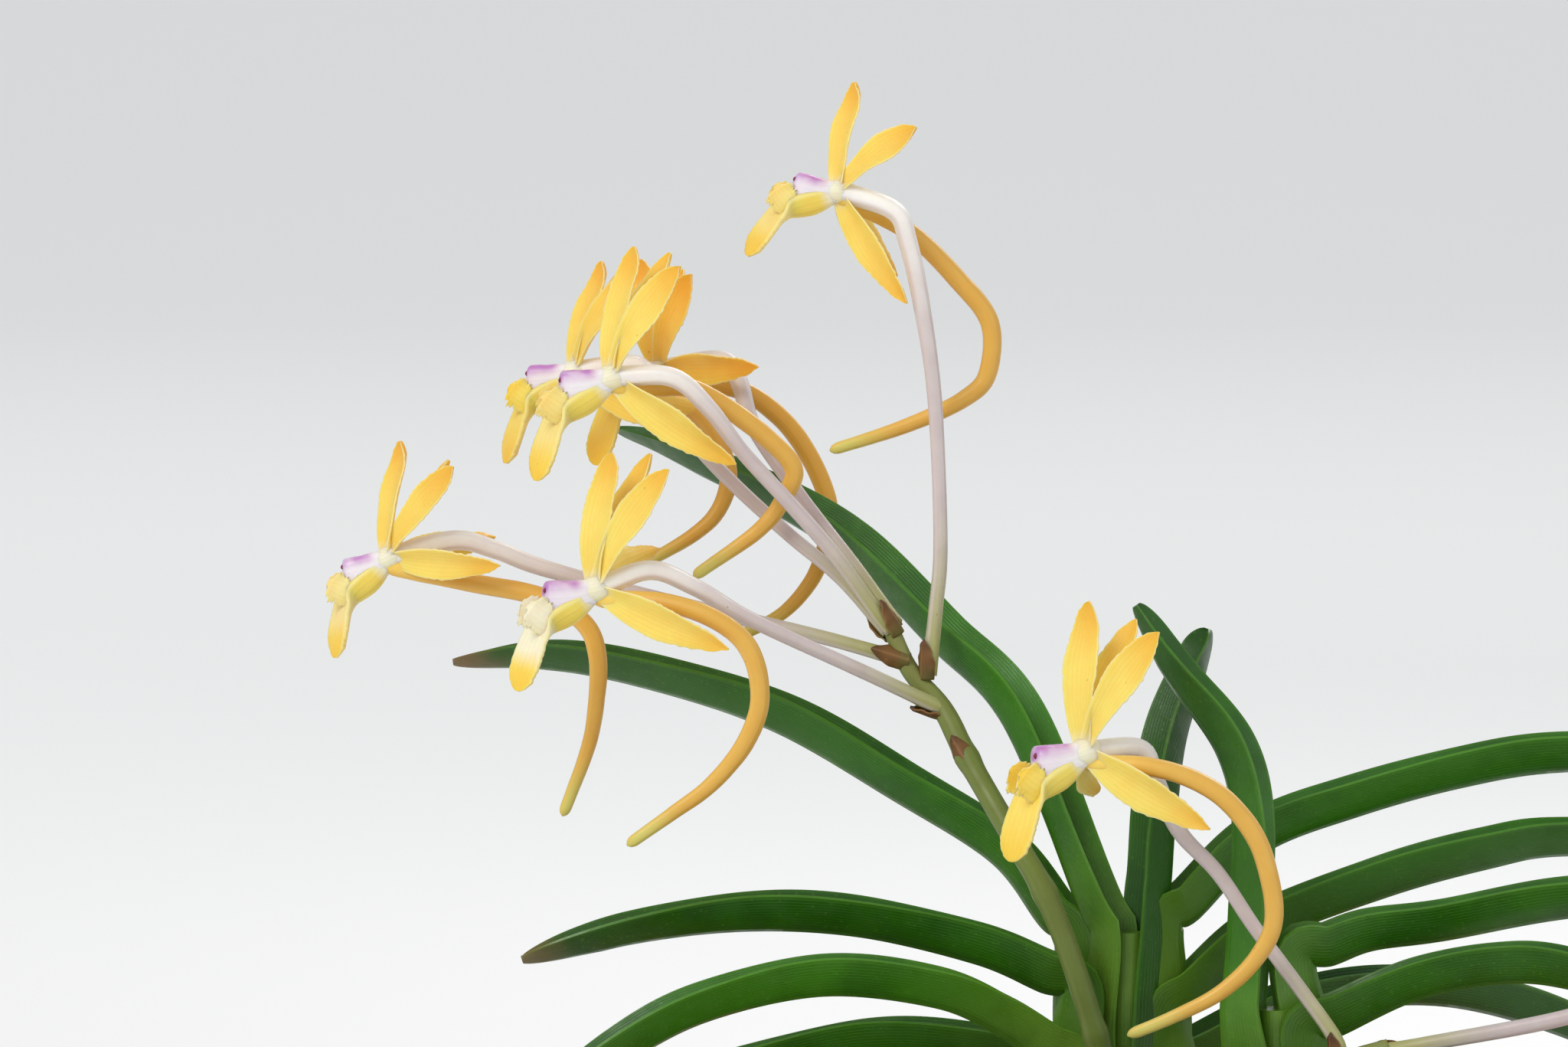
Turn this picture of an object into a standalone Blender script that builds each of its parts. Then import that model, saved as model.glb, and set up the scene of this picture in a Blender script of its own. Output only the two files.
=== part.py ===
"""A wind orchid in flower, standing in a clay pot of moss.

Lengths below are in millimetres and are turned into metres when a mesh is made. The origin is the
middle of the pot's flat base. X runs to the right and Z up, and the blooms face the left, -X.
"""
import math

import bmesh
import bpy
from mathutils import Vector

MM = 0.001
GAP = 0.3
TILT_ROOM = 0.3

POT_HEIGHT = 78.0
POT_BASE_RADIUS = 28.0
POT_TOP_RADIUS = 37.6
POT_WALL = 3.6
POT_FLOOR = 5.0
RIM_RADIUS = 40.4
RIM_BAND = 12.0
POT_SIDES = 32
DRAIN_RADIUS = 4.0
DRAIN_CIRCLE = 13.0
DRAIN_COUNT = 3

MOSS_TOP = 82.0
MOSS_EDGE = 74.5
MOSS_BUMP = 0.7

LEAF_HALF_WIDTH = 3.2
LEAF_THICKNESS = 0.8
LEAF_RINGS = 10
SHEATH_RADIUS = 2.1
SHEATH_REACH = 13.0
SHEATH_FOOT = 86.2

TEPAL_THICKNESS = 0.62
TEPAL_ARCH = 1.5
HUB_RADIUS = 1.15
NECK_LENGTH = 3.2
SPUR_RADIUS = 0.8
PEDICEL_RADIUS = 0.72
PEDUNCLE_RADIUS = 1.0
ROOT_RADIUS = 1.2

# Widths along a blade, as (share of the length, share of the full width).
LEAF_OUTLINE = ((0.0, 0.8), (0.15, 0.95), (0.5, 1.0), (0.8, 0.86), (0.93, 0.62), (1.0, 0.25))
SHEATH_TAPER = ((0.0, 0.9), (0.5, 1.05), (1.0, 0.95))
LEAF_FOLD = ((0.0, 56.0), (0.3, 50.0), (0.7, 42.0), (1.0, 22.0))
DORSAL_OUTLINE = ((0.0, 1.8), (0.25, 2.8), (0.55, 3.5), (0.85, 2.4), (1.0, 1.1))
PETAL_OUTLINE = ((0.0, 1.4), (0.3, 2.5), (0.62, 3.5), (0.85, 2.4), (1.0, 0.9))
SEPAL_OUTLINE = ((0.0, 1.6), (0.3, 3.1), (0.52, 3.4), (0.85, 1.7), (1.0, 0.7))
LIP_OUTLINE = ((0.0, 1.8), (0.3, 2.4), (0.48, 2.1), (0.72, 2.9), (0.9, 2.4), (1.0, 1.4))
TEPAL_FOLD = ((0.0, 15.0), (1.0, 7.5))
LIP_FOLD = ((0.0, 26.0), (0.5, 16.0), (1.0, 8.0))
LOBE_OUTLINE = ((0.0, 1.2), (0.5, 2.6), (0.8, 2.3), (1.0, 1.2))
SPUR_TAPER = ((0.0, 1.0), (0.3, 1.05), (0.7, 0.85), (0.93, 0.66), (1.0, 0.4))
HUB_TAPER = ((0.0, 0.5), (0.33, 1.0), (0.67, 1.0), (1.0, 0.5))
PEDICEL_TAPER = ((0.0, 1.1), (0.1, 1.0), (0.85, 0.95), (1.0, 0.85))
PEDUNCLE_TAPER = ((0.0, 1.2), (0.2, 1.0), (0.8, 0.95), (1.0, 0.75))
ROOT_TAPER = ((0.0, 1.0), (0.8, 0.95), (0.95, 0.75), (1.0, 0.4))

# The midline of the lip in the bloom's own directions: forward, sideways and up.
LIP_LINE = (
    (0.4, 0.0, -0.9), (2.3, 0.0, -2.2), (4.1, 0.0, -2.9), (5.1, 0.0, -4.4), (5.8, 0.0, -6.4), (6.5, 0.0, -8.8),
)
LOBE_LINE = ((2.4, 1.4, -2.6), (4.3, 1.85, -2.4), (6.1, 1.9, -2.8))
COLUMN_LINE = ((1.6, 0.0, 0.1), (2.6, 0.0, 0.0), (3.8, 0.0, -0.2), (4.7, 0.0, -0.45))

# The way that the inner face of each petal, sepal and lip looks, in the bloom's own directions.
DORSAL_FACE = (0.8, 0.59, 0.1)
PETAL_FACES = ((0.83, 0.56, -0.04), (0.93, 0.36, 0.0))
SEPAL_FACES = ((0.5, 0.84, -0.2), (0.5, -0.84, -0.2))
LIP_FACE = (0.68, 0.36, 0.64)
COLUMN_TAPER = ((0.0, 0.8), (0.25, 1.05), (0.75, 1.12), (1.0, 0.6))

MAIN_FAN = Vector((0.0, 0.0, 0.0))
SIDE_FAN = Vector((12.5, -7.0, 0.0))
FAN_FOOT = 73.0

# Midline of each leaf blade from the sheath to the tip.
LEAVES = {
    "leaf_left_top": ((-2.9, 0.2, 104.0), (-9.3, 3.4, 119.6), (-15.9, 8.0, 126.4), (-23.2, 12.6, 133.4),
                      (-30.6, 16.2, 137.8), (-39.0, 20.2, 141.4), (-43.5, 22.6, 142.6)),
    "leaf_left_long": ((-6.4, 2.4, 103.0), (-10.6, 3.6, 108.3), (-19.2, 6.0, 113.6), (-29.1, 8.5, 119.1),
                       (-39.0, 10.5, 122.3), (-48.9, 12.0, 124.0), (-57.5, 13.0, 123.2)),
    "leaf_left_glossy": ((-7.0, -1.0, 98.0), (-12.6, -1.0, 100.4), (-22.5, -1.5, 102.8), (-32.4, -2.0, 103.3),
                         (-42.3, -2.4, 102.0), (-51.2, -2.6, 99.2)),
    "leaf_left_low": ((-7.2, -2.8, 92.2), (-10.5, -4.0, 94.6), (-16.0, -5.6, 97.2), (-25.8, -7.0, 98.4),
                      (-35.7, -7.5, 96.3), (-43.0, -8.0, 92.5), (-51.0, -8.5, 86.5), (-56.0, -9.0, 81.0)),
    "leaf_left_lowest": ((-5.6, 2.6, 89.4), (-12.6, 4.2, 91.2), (-22.5, 6.0, 91.4), (-34.0, 8.2, 88.6),
                         (-46.0, 10.5, 84.0), (-54.0, 12.0, 80.0)),
    "leaf_upright": ((2.5, 0.4, 106.6), (2.9, 0.8, 112.0), (4.0, 1.6, 119.0), (7.2, 2.6, 127.0)),
    "leaf_right_top": ((5.4, 1.7, 103.8), (11.3, 4.2, 109.2), (19.7, 6.2, 112.3), (28.6, 7.8, 114.6),
                       (37.0, 9.0, 115.8), (48.0, 10.5, 115.4), (60.0, 12.0, 112.4), (69.0, 13.0, 108.4)),
    "leaf_right_long": ((5.8, 1.2, 96.4), (11.7, 3.0, 101.6), (21.9, 4.6, 105.5), (30.9, 5.5, 107.9),
                        (37.0, 6.0, 108.9), (48.0, 6.6, 108.5), (60.0, 7.0, 105.3), (68.0, 7.2, 101.0)),
    "leaf_right_back": ((5.5, 3.8, 90.4), (15.0, 8.8, 94.4), (28.0, 15.0, 95.0), (42.0, 21.0, 90.2),
                        (53.0, 26.0, 83.0)),
    "leaf_side_upright": ((9.4, -7.7, 98.4), (9.8, -7.4, 104.0), (10.1, -7.0, 111.9), (8.6, -6.5, 117.9),
                          (4.4, -6.0, 123.8), (0.3, -5.5, 129.6)),
    "leaf_side_long": ((17.0, -5.6, 100.8), (20.4, -5.2, 102.0), (26.4, -4.6, 102.8), (37.0, -3.6, 104.6),
                       (50.0, -2.6, 105.4), (61.5, -1.6, 103.0)),
    "leaf_side_spotted": ((17.6, -8.0, 95.2), (24.2, -8.3, 98.3), (30.9, -8.6, 99.6), (37.0, -9.0, 99.2),
                          (48.0, -9.6, 96.0), (57.5, -10.0, 91.0)),
    "leaf_front_left": ((7.2, -9.6, 89.6), (0.0, -14.0, 91.0), (-9.0, -20.0, 90.0), (-20.0, -27.0, 86.6),
                        (-30.0, -33.5, 83.0)),
    "leaf_front_right": ((18.4, -10.6, 88.6), (25.5, -16.4, 89.0), (33.0, -24.5, 88.6), (40.0, -33.0, 86.0),
                         (46.0, -39.5, 82.0)),
}
MAIN_FAN_LEAVES = (
    "leaf_left_top", "leaf_left_long", "leaf_left_glossy", "leaf_left_low", "leaf_left_lowest",
    "leaf_upright", "leaf_right_top", "leaf_right_long", "leaf_right_back",
)
SIDE_FAN_LEAVES = (
    "leaf_side_upright", "leaf_side_long", "leaf_side_spotted", "leaf_front_left", "leaf_front_right",
)

# Flower stems: the main line of each spray, from the fan to its end.
LEFT_PEDUNCLE = ((-1.2, -4.4, 86.8), (-2.4, -5.4, 92.0), (-4.8, -5.7, 99.7), (-7.0, -5.5, 105.2),
                 (-9.4, -4.4, 109.4), (-13.4, -0.5, 116.1), (-15.6, 2.0, 120.3), (-18.4, 2.6, 123.6),
                 (-20.0, 2.8, 127.1))
RIGHT_PEDUNCLE = ((12.0, -11.5, 86.6), (13.0, -13.2, 88.8), (15.5, -14.2, 91.0), (18.2, -14.0, 92.2),
                  (21.5, -14.0, 93.4))

# Each bloom: where its heart is, which way it faces in degrees from the left towards the viewer,
# how far its face is tipped up, its size, the tips of its dorsal sepal, petals and lateral sepals as
# seen from the heart, its flower stalk from the rachis to behind the heart, and its spur from below
# the heart. Angles are in degrees.
BLOOMS = {
    "top": {
        "heart": (-24.3, 5.0, 164.2), "facing": 2.0, "tip_up": 18.0, "size": 0.85,
        "dorsal": (1.9, 1.2, 8.9), "petals": ((6.6, -4.2, 5.4), (5.9, 5.4, 5.0)),
        "sepals": ((5.75, -2.2, -9.3), (5.0, 5.4, -7.4)),
        "stalk": ((-16.8, 2.4, 123.2), (-16.2, 2.6, 128.9), (-15.8, 3.0, 134.6), (-16.3, 3.4, 146.6),
                  (-17.4, 3.7, 154.5), (-18.6, 3.9, 160.0), (-19.8, 4.1, 162.6)),
        "spur": ((-23.3, 5.3, 163.2), (-20.6, 6.5, 161.9), (-18.0, 7.3, 160.3), (-14.5, 7.8, 156.8),
                 (-11.6, 8.0, 153.0), (-11.7, 8.0, 148.6), (-13.7, 7.8, 146.4), (-18.4, 7.4, 144.2),
                 (-25.2, 7.0, 142.0)),
    },
    "front": {
        "heart": (-43.5, 0.0, 148.7), "facing": 8.0, "tip_up": 0.0, "size": 0.97,
        "dorsal": (2.4, 1.0, 10.8), "petals": ((5.8, -3.6, 9.4), (5.1, 3.4, 10.1)),
        "sepals": ((10.3, -1.6, -7.2), (7.2, 8.8, -3.2)),
        "stalk": ((-20.0, 2.6, 127.0), (-21.4, 2.2, 128.8), (-24.8, 1.6, 133.5), (-28.7, 1.0, 138.0),
                  (-32.6, 0.4, 142.3), (-35.5, -0.2, 146.1), (-38.6, -0.6, 148.7)),
        "spur": ((-42.8, 0.3, 147.8), (-40.0, 1.5, 147.7), (-36.5, 2.4, 147.4), (-31.6, 3.2, 144.2),
                 (-28.4, 3.5, 141.0), (-28.9, 3.6, 138.6), (-31.2, 3.4, 135.5), (-36.8, 3.2, 131.5)),
    },
    "behind": {
        "heart": (-46.9, 10.4, 148.6), "facing": -6.0, "tip_up": 0.0, "size": 0.88,
        "dorsal": (3.0, 1.0, 9.2), "petals": ((5.0, -3.6, 8.4), (4.2, 4.0, 8.6)),
        "sepals": ((9.0, -3.0, -4.6), (9.2, 1.6, -5.0)),
        "stalk": ((-20.2, 3.2, 126.8), (-24.3, 5.0, 131.3), (-28.7, 6.2, 134.9), (-33.9, 7.8, 139.6),
                  (-37.5, 8.8, 143.6), (-40.2, 9.4, 147.6), (-42.0, 9.8, 149.2)),
        "spur": ((-46.0, 10.8, 148.5), (-42.5, 11.7, 147.8), (-39.0, 12.3, 146.7), (-35.7, 12.5, 143.9),
                 (-33.9, 12.3, 140.0), (-34.6, 12.0, 136.8), (-36.8, 11.7, 134.5), (-41.5, 11.2, 131.8)),
    },
    "back": {
        "heart": (-39.6, 18.0, 148.3), "facing": 20.0, "tip_up": 0.0, "size": 0.9,
        "dorsal": (-1.3, 2.6, 9.3), "petals": ((2.7, -4.6, 8.4), (1.9, 5.4, 8.2)),
        "sepals": ((8.3, -5.6, 0.6), (6.0, 7.6, -3.0)),
        "stalk": ((-19.6, 3.4, 127.4), (-22.8, 5.8, 131.8), (-27.6, 9.8, 137.8), (-31.6, 13.8, 143.4),
                  (-33.0, 16.8, 147.4), (-34.6, 17.9, 149.2)),
        "spur": ((-39.0, 18.8, 147.5), (-35.8, 20.6, 147.0), (-32.2, 21.2, 146.0), (-28.7, 21.0, 143.2),
                 (-26.3, 20.4, 139.4), (-25.2, 19.6, 135.6), (-26.2, 19.0, 131.0), (-29.0, 18.6, 127.4),
                 (-33.0, 18.4, 125.2)),
    },
    "centre": {
        "heart": (-44.8, -7.0, 131.3), "facing": 15.0, "tip_up": 2.0, "size": 0.97,
        "dorsal": (1.8, 0.8, 11.2), "petals": ((6.2, -3.2, 10.1), (4.8, 3.2, 10.9)),
        "sepals": ((11.0, -3.0, -4.8), (5.2, 10.2, 2.6)),
        "stalk": ((-15.6, 2.0, 120.3), (-21.6, -1.0, 123.4), (-28.9, -4.2, 127.0), (-32.9, -5.5, 129.1),
                  (-36.7, -6.3, 131.4), (-40.4, -6.6, 132.8)),
        "spur": ((-44.0, -6.9, 130.4), (-39.4, -7.6, 130.2), (-35.1, -8.3, 128.9), (-32.1, -8.6, 126.4),
                 (-31.1, -8.7, 122.3), (-32.3, -8.6, 118.5), (-35.1, -8.4, 115.0), (-38.5, -8.2, 112.4),
                 (-42.3, -8.0, 109.7)),
    },
    "left": {
        "heart": (-62.6, 3.0, 133.2), "facing": 0.0, "tip_up": -9.0, "size": 0.86,
        "dorsal": (1.7, 0.6, 9.8), "petals": ((5.9, -3.4, 7.9), (5.2, 4.2, 7.8)),
        "sepals": ((9.4, -4.2, -0.4), (8.9, 5.2, 1.4)),
        "stalk": ((-18.8, 2.6, 124.4), (-23.0, 3.0, 125.6), (-27.7, 3.4, 126.8), (-39.0, 3.8, 129.4),
                  (-49.5, 3.8, 132.2), (-53.6, 3.5, 133.8), (-57.2, 3.2, 134.6)),
        "spur": ((-61.9, 3.0, 132.3), (-56.5, 2.4, 131.2), (-50.0, 1.5, 130.0), (-46.2, 1.0, 127.9),
                 (-44.9, 0.8, 124.9), (-45.1, 0.8, 120.3), (-45.9, 1.0, 116.6), (-47.9, 1.0, 111.3)),
    },
    "right_front": {
        "heart": (-3.9, -16.0, 118.4), "facing": 20.0, "tip_up": 0.0, "size": 1.0,
        "dorsal": (0.7, 1.0, 12.3), "petals": ((6.0, -3.4, 10.1), (4.5, 3.2, 10.6)),
        "sepals": ((10.2, -2.4, -6.1), (1.6, 11.2, -4.4)),
        "stalk": ((17.4, -14.0, 91.8), (17.0, -13.9, 94.0), (14.0, -13.8, 98.3), (10.3, -13.7, 103.3),
                  (7.2, -13.7, 107.9), (3.9, -13.8, 111.5), (1.9, -13.7, 115.8), (0.6, -14.0, 118.4)),
        "spur": ((-3.2, -15.9, 117.4), (1.0, -16.6, 117.2), (5.0, -17.0, 116.1), (8.1, -17.2, 114.0),
                 (10.6, -17.3, 110.3), (11.7, -17.3, 104.8), (10.3, -17.2, 101.3), (7.2, -17.1, 98.3),
                 (3.2, -17.0, 96.2), (-0.5, -17.0, 94.7)),
    },
    "right_side": {
        "heart": (51.0, -19.0, 101.4), "facing": 165.0, "tip_up": 0.0, "size": 0.95,
        "dorsal": (-1.8, -0.8, 10.8), "petals": ((-6.0, 3.6, 9.4), (-4.8, -3.2, 9.8)),
        "sepals": ((-10.0, 2.6, -6.0), (-6.6, -9.2, -3.6)),
        "stalk": ((20.6, -14.0, 93.0), (24.0, -14.4, 93.6), (36.8, -16.8, 96.4), (43.0, -18.0, 99.6),
                  (47.0, -18.4, 101.8)),
        "spur": ((50.2, -19.2, 100.5), (46.0, -19.6, 100.1), (42.4, -20.0, 98.4), (39.2, -20.4, 95.0),
                 (37.8, -20.6, 91.0), (38.4, -20.8, 87.0), (41.4, -21.0, 83.6), (46.4, -21.0, 81.2)),
    },
}
LEFT_SPRAY = ("top", "front", "behind", "back", "centre", "left")
RIGHT_SPRAY = ("right_front", "right_side")

# Roots leave a low collar round the foot of each fan and run over or into the moss.
ROOT_COLLAR_LEVEL = 83.6
ROOT_COLLAR_RADIUS = 4.4
MAIN_ROOTS = (
    ((-4.2, 1.6, 83.6), (-9.0, 3.8, 84.6), (-15.0, 7.2, 82.6), (-21.0, 11.4, 79.2), (-25.0, 14.6, 73.0)),
    ((-3.8, -2.4, 83.6), (-8.0, -7.2, 84.6), (-12.4, -12.4, 82.4), (-15.8, -17.4, 79.4),
     (-17.4, -21.0, 73.0)),
    ((0.6, 4.4, 83.6), (2.6, 9.0, 84.8), (3.4, 15.6, 82.8), (5.2, 23.6, 80.6), (10.4, 31.2, 79.4),
     (15.8, 37.2, 79.9), (19.4, 42.0, 76.4)),
    ((3.8, 2.4, 83.6), (9.0, 7.0, 84.0), (15.0, 11.0, 81.6), (21.0, 14.0, 76.0)),
)
SIDE_ROOTS = (
    ((12.0, -11.4, 83.6), (9.0, -16.0, 84.4), (4.6, -21.6, 81.6), (0.6, -26.0, 78.4), (-1.8, -28.6, 72.0)),
    ((16.6, -7.8, 83.6), (20.6, -8.6, 84.2), (26.0, -7.8, 81.0), (30.4, -6.2, 74.6)),
    ((15.2, -10.4, 83.6), (18.0, -15.6, 84.2), (20.6, -22.4, 81.4), (23.8, -28.4, 79.6), (27.2, -33.0, 80.0),
     (30.0, -37.4, 76.0)),
)


def clear_scene():
    """Removes whatever the file opened with."""
    for thing in list(bpy.data.objects):
        bpy.data.objects.remove(thing, do_unlink=True)


def make_material(name, colour, roughness, metallic=0.0):
    """A plain Principled material."""
    material = bpy.data.materials.new(name)
    material.use_nodes = True
    shader = material.node_tree.nodes["Principled BSDF"]
    shader.inputs["Base Color"].default_value = (*colour, 1.0)
    shader.inputs["Roughness"].default_value = roughness
    shader.inputs["Metallic"].default_value = metallic
    material.diffuse_color = (*colour, 1.0)
    return material


def value_along(pairs, share):
    """Reads a value at a share of the length from (share, value) pairs."""
    for (left, low), (right, high) in zip(pairs, pairs[1:]):
        if share <= right:
            return low + (high - low) * (share - left) / (right - left)
    return pairs[-1][1]


def smooth_line(points, count):
    """Points at even steps along a smooth curve through the given points."""
    knots = [Vector(point) for point in points]
    knots = [knots[0] * 2 - knots[1], *knots, knots[-1] * 2 - knots[-2]]
    fine = []
    steps = 24
    for before, start, end, after in zip(knots, knots[1:], knots[2:], knots[3:]):
        for step in range(steps):
            t = step / steps
            fine.append(0.5 * (
                start * 2
                + (end - before) * t
                + (before * 2 - start * 5 + end * 4 - after) * t * t
                + (start * 3 - before - end * 3 + after) * t ** 3
            ))
    fine.append(knots[-2])
    travelled = [0.0]
    for here, there in zip(fine, fine[1:]):
        travelled.append(travelled[-1] + (there - here).length)
    line = []
    place = 0
    for index in range(count):
        target = travelled[-1] * index / (count - 1)
        while place < len(fine) - 2 and travelled[place + 1] < target:
            place += 1
        span = travelled[place + 1] - travelled[place]
        share = (target - travelled[place]) / span if span else 0.0
        line.append(fine[place].lerp(fine[place + 1], min(1.0, share)))
    return line


def directions(line):
    """The unit direction of travel at each point of a line."""
    found = []
    for index in range(len(line)):
        before = line[max(0, index - 1)]
        after = line[min(len(line) - 1, index + 1)]
        found.append((after - before).normalized())
    return found


def mesh_from_rings(name, rings, blade=False):
    """Joins rings of points into one closed skin. On a blade, both faces are split alike."""
    bm = bmesh.new()
    rows = [[bm.verts.new(point * MM) for point in ring] for ring in rings]
    size = len(rings[0])
    for row, following in zip(rows, rows[1:]):
        for here in range(size):
            beside = (here + 1) % size
            if blade and here >= size // 2:
                bm.faces.new((row[here], row[beside], following[here]))
                bm.faces.new((row[beside], following[beside], following[here]))
            else:
                bm.faces.new((row[here], row[beside], following[beside]))
                bm.faces.new((row[here], following[beside], following[here]))
    if blade:
        for row in (rows[0], rows[-1]):
            for here in range(size // 2 - 1):
                bm.faces.new((row[here], row[here + 1], row[size - 2 - here], row[size - 1 - here]))
    else:
        bm.faces.new(rows[0])
        bm.faces.new(rows[-1])
    bmesh.ops.recalc_face_normals(bm, faces=bm.faces)
    mesh = bpy.data.meshes.new(name)
    bm.to_mesh(mesh)
    bm.free()
    return mesh


def place(name, mesh, material=None):
    """Links a mesh as an object of the scene."""
    thing = bpy.data.objects.new(name, mesh)
    bpy.context.scene.collection.objects.link(thing)
    if material:
        mesh.materials.clear()
        mesh.materials.append(material)
    return thing


def tube(name, points, radius, taper, sides, count):
    """A round stem along a smooth line, whose radius follows a taper."""
    line = smooth_line(points, count)
    along = directions(line)
    across = along[0].orthogonal().normalized()
    rings = []
    for index, (middle, ahead) in enumerate(zip(line, along)):
        across = (across - ahead * across.dot(ahead)).normalized()
        other = ahead.cross(across)
        reach = radius * value_along(taper, index / (count - 1))
        rings.append([
            middle + (across * math.cos(turn) + other * math.sin(turn)) * reach
            for turn in (2 * math.pi * side / sides for side in range(sides))
        ])
    return place(name, mesh_from_rings(name, rings))


def blade_ring(middle, ahead, face, width, thickness, fold):
    """Six points round a blade folded along its midrib: three on its face and three on its back."""
    face = (face - ahead * face.dot(ahead)).normalized()
    side = ahead.cross(face)
    cosine = math.cos(math.radians(fold))
    sine = math.sin(math.radians(fold))
    middle = middle - face * (width / 2 * sine - thickness / cosine) / 2
    left = middle + (-side * cosine + face * sine) * width / 2
    right = middle + (side * cosine + face * sine) * width / 2
    left_back = left - (side * sine + face * cosine) * thickness
    right_back = right - (-side * sine + face * cosine) * thickness
    rib_back = middle - face * (thickness / cosine)
    return [left, middle, right, right_back, rib_back, left_back]


def blade(name, points, faces, outline, scale, thickness, folds, count):
    """A thin closed blade along a smooth line. faces gives the way its face looks at each point."""
    line = smooth_line(points, count)
    rings = []
    for index, (middle, ahead) in enumerate(zip(line, directions(line))):
        share = index / (count - 1)
        face = faces(middle, ahead)
        width = value_along(outline, share) * scale
        rings.append(blade_ring(middle, ahead, face, width, thickness, value_along(folds, share)))
    return place(name, mesh_from_rings(name, rings, blade=True))


def boolean(target, others, operation, solver="EXACT"):
    """Applies one Boolean with a whole collection, and removes the collection's objects."""
    group = bpy.data.collections.new("tools")
    for other in others:
        group.objects.link(other)
    modifier = target.modifiers.new("join", "BOOLEAN")
    modifier.operation = operation
    modifier.operand_type = "COLLECTION"
    modifier.collection = group
    modifier.solver = solver
    bpy.context.view_layer.update()
    evaluated = target.evaluated_get(bpy.context.evaluated_depsgraph_get())
    result = bpy.data.meshes.new_from_object(evaluated)
    target.modifiers.clear()
    target.data = result
    for other in list(others):
        bpy.data.objects.remove(other, do_unlink=True)
    bpy.data.collections.remove(group)
    return target


def finish(thing, name, material, angle=40.0):
    """Names a node, gives it its material and shades it smooth between its sharp edges."""
    thing.name = name
    thing.data.name = name
    thing.data.materials.clear()
    thing.data.materials.append(material)
    thing.data.shade_smooth()
    thing.data.set_sharp_from_angle(angle=math.radians(angle))
    return thing


def turned(name, profile, sides):
    """A body of revolution about Z through closed profile points, each a radius and a height."""
    bm = bmesh.new()
    verts = [bm.verts.new((radius * MM, 0.0, height * MM)) for radius, height in profile]
    edges = [bm.edges.new((here, there)) for here, there in zip(verts, verts[1:])]
    bmesh.ops.spin(
        bm, geom=verts + edges, cent=(0, 0, 0), axis=(0, 0, 1), angle=2 * math.pi, steps=sides,
        use_merge=True, use_duplicate=False,
    )
    bmesh.ops.remove_doubles(bm, verts=bm.verts, dist=1e-6)
    bmesh.ops.recalc_face_normals(bm, faces=bm.faces)
    mesh = bpy.data.meshes.new(name)
    bm.to_mesh(mesh)
    bm.free()
    return place(name, mesh)


def inner_radius(height):
    """The radius of the pot's inside at a height."""
    share = height / POT_HEIGHT
    return POT_BASE_RADIUS + (POT_TOP_RADIUS - POT_BASE_RADIUS) * share - POT_WALL


def build_pot(material):
    """A tapered clay pot with a rim band and drain holes round the middle of its flat base."""
    band_foot = POT_HEIGHT - RIM_BAND
    wall_at_band = inner_radius(band_foot) + POT_WALL
    profile = (
        (0.0, 0.0),
        (POT_BASE_RADIUS - 1.2, 0.0),
        (POT_BASE_RADIUS, 1.2),
        (wall_at_band, band_foot),
        (RIM_RADIUS - 0.8, band_foot + 0.8),
        (RIM_RADIUS, POT_HEIGHT - 1.2),
        (RIM_RADIUS - 1.2, POT_HEIGHT),
        (inner_radius(POT_HEIGHT) + 1.0, POT_HEIGHT),
        (inner_radius(POT_HEIGHT), POT_HEIGHT - 1.0),
        (inner_radius(POT_FLOOR), POT_FLOOR),
        (0.0, POT_FLOOR),
    )
    pot = turned("pot", profile, POT_SIDES)
    drills = []
    for index in range(DRAIN_COUNT):
        turn = 2 * math.pi * index / DRAIN_COUNT + math.pi / 2
        bottom = Vector((DRAIN_CIRCLE * math.cos(turn), DRAIN_CIRCLE * math.sin(turn), -3.0))
        top = bottom + Vector((0.0, 0.0, POT_FLOOR + 6.0))
        drills.append(tube("drill", (bottom, top), DRAIN_RADIUS, ((0.0, 1.0), (1.0, 1.0)), 12, 2))
    boolean(pot, drills, "DIFFERENCE")
    return finish(pot, "pot", material)


def moss_height(x, y):
    """The level of the moss at a place: a low mound with soft bumps."""
    reach = math.hypot(x, y) / inner_radius(POT_HEIGHT)
    mound = MOSS_TOP - (MOSS_TOP - MOSS_EDGE - 1.5) * reach ** 2
    bumps = math.sin(x * 0.53 + 1.3) * math.cos(y * 0.47 - 0.6) + 0.6 * math.sin(x * 0.91 - y * 0.83)
    return mound + MOSS_BUMP * bumps


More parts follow.
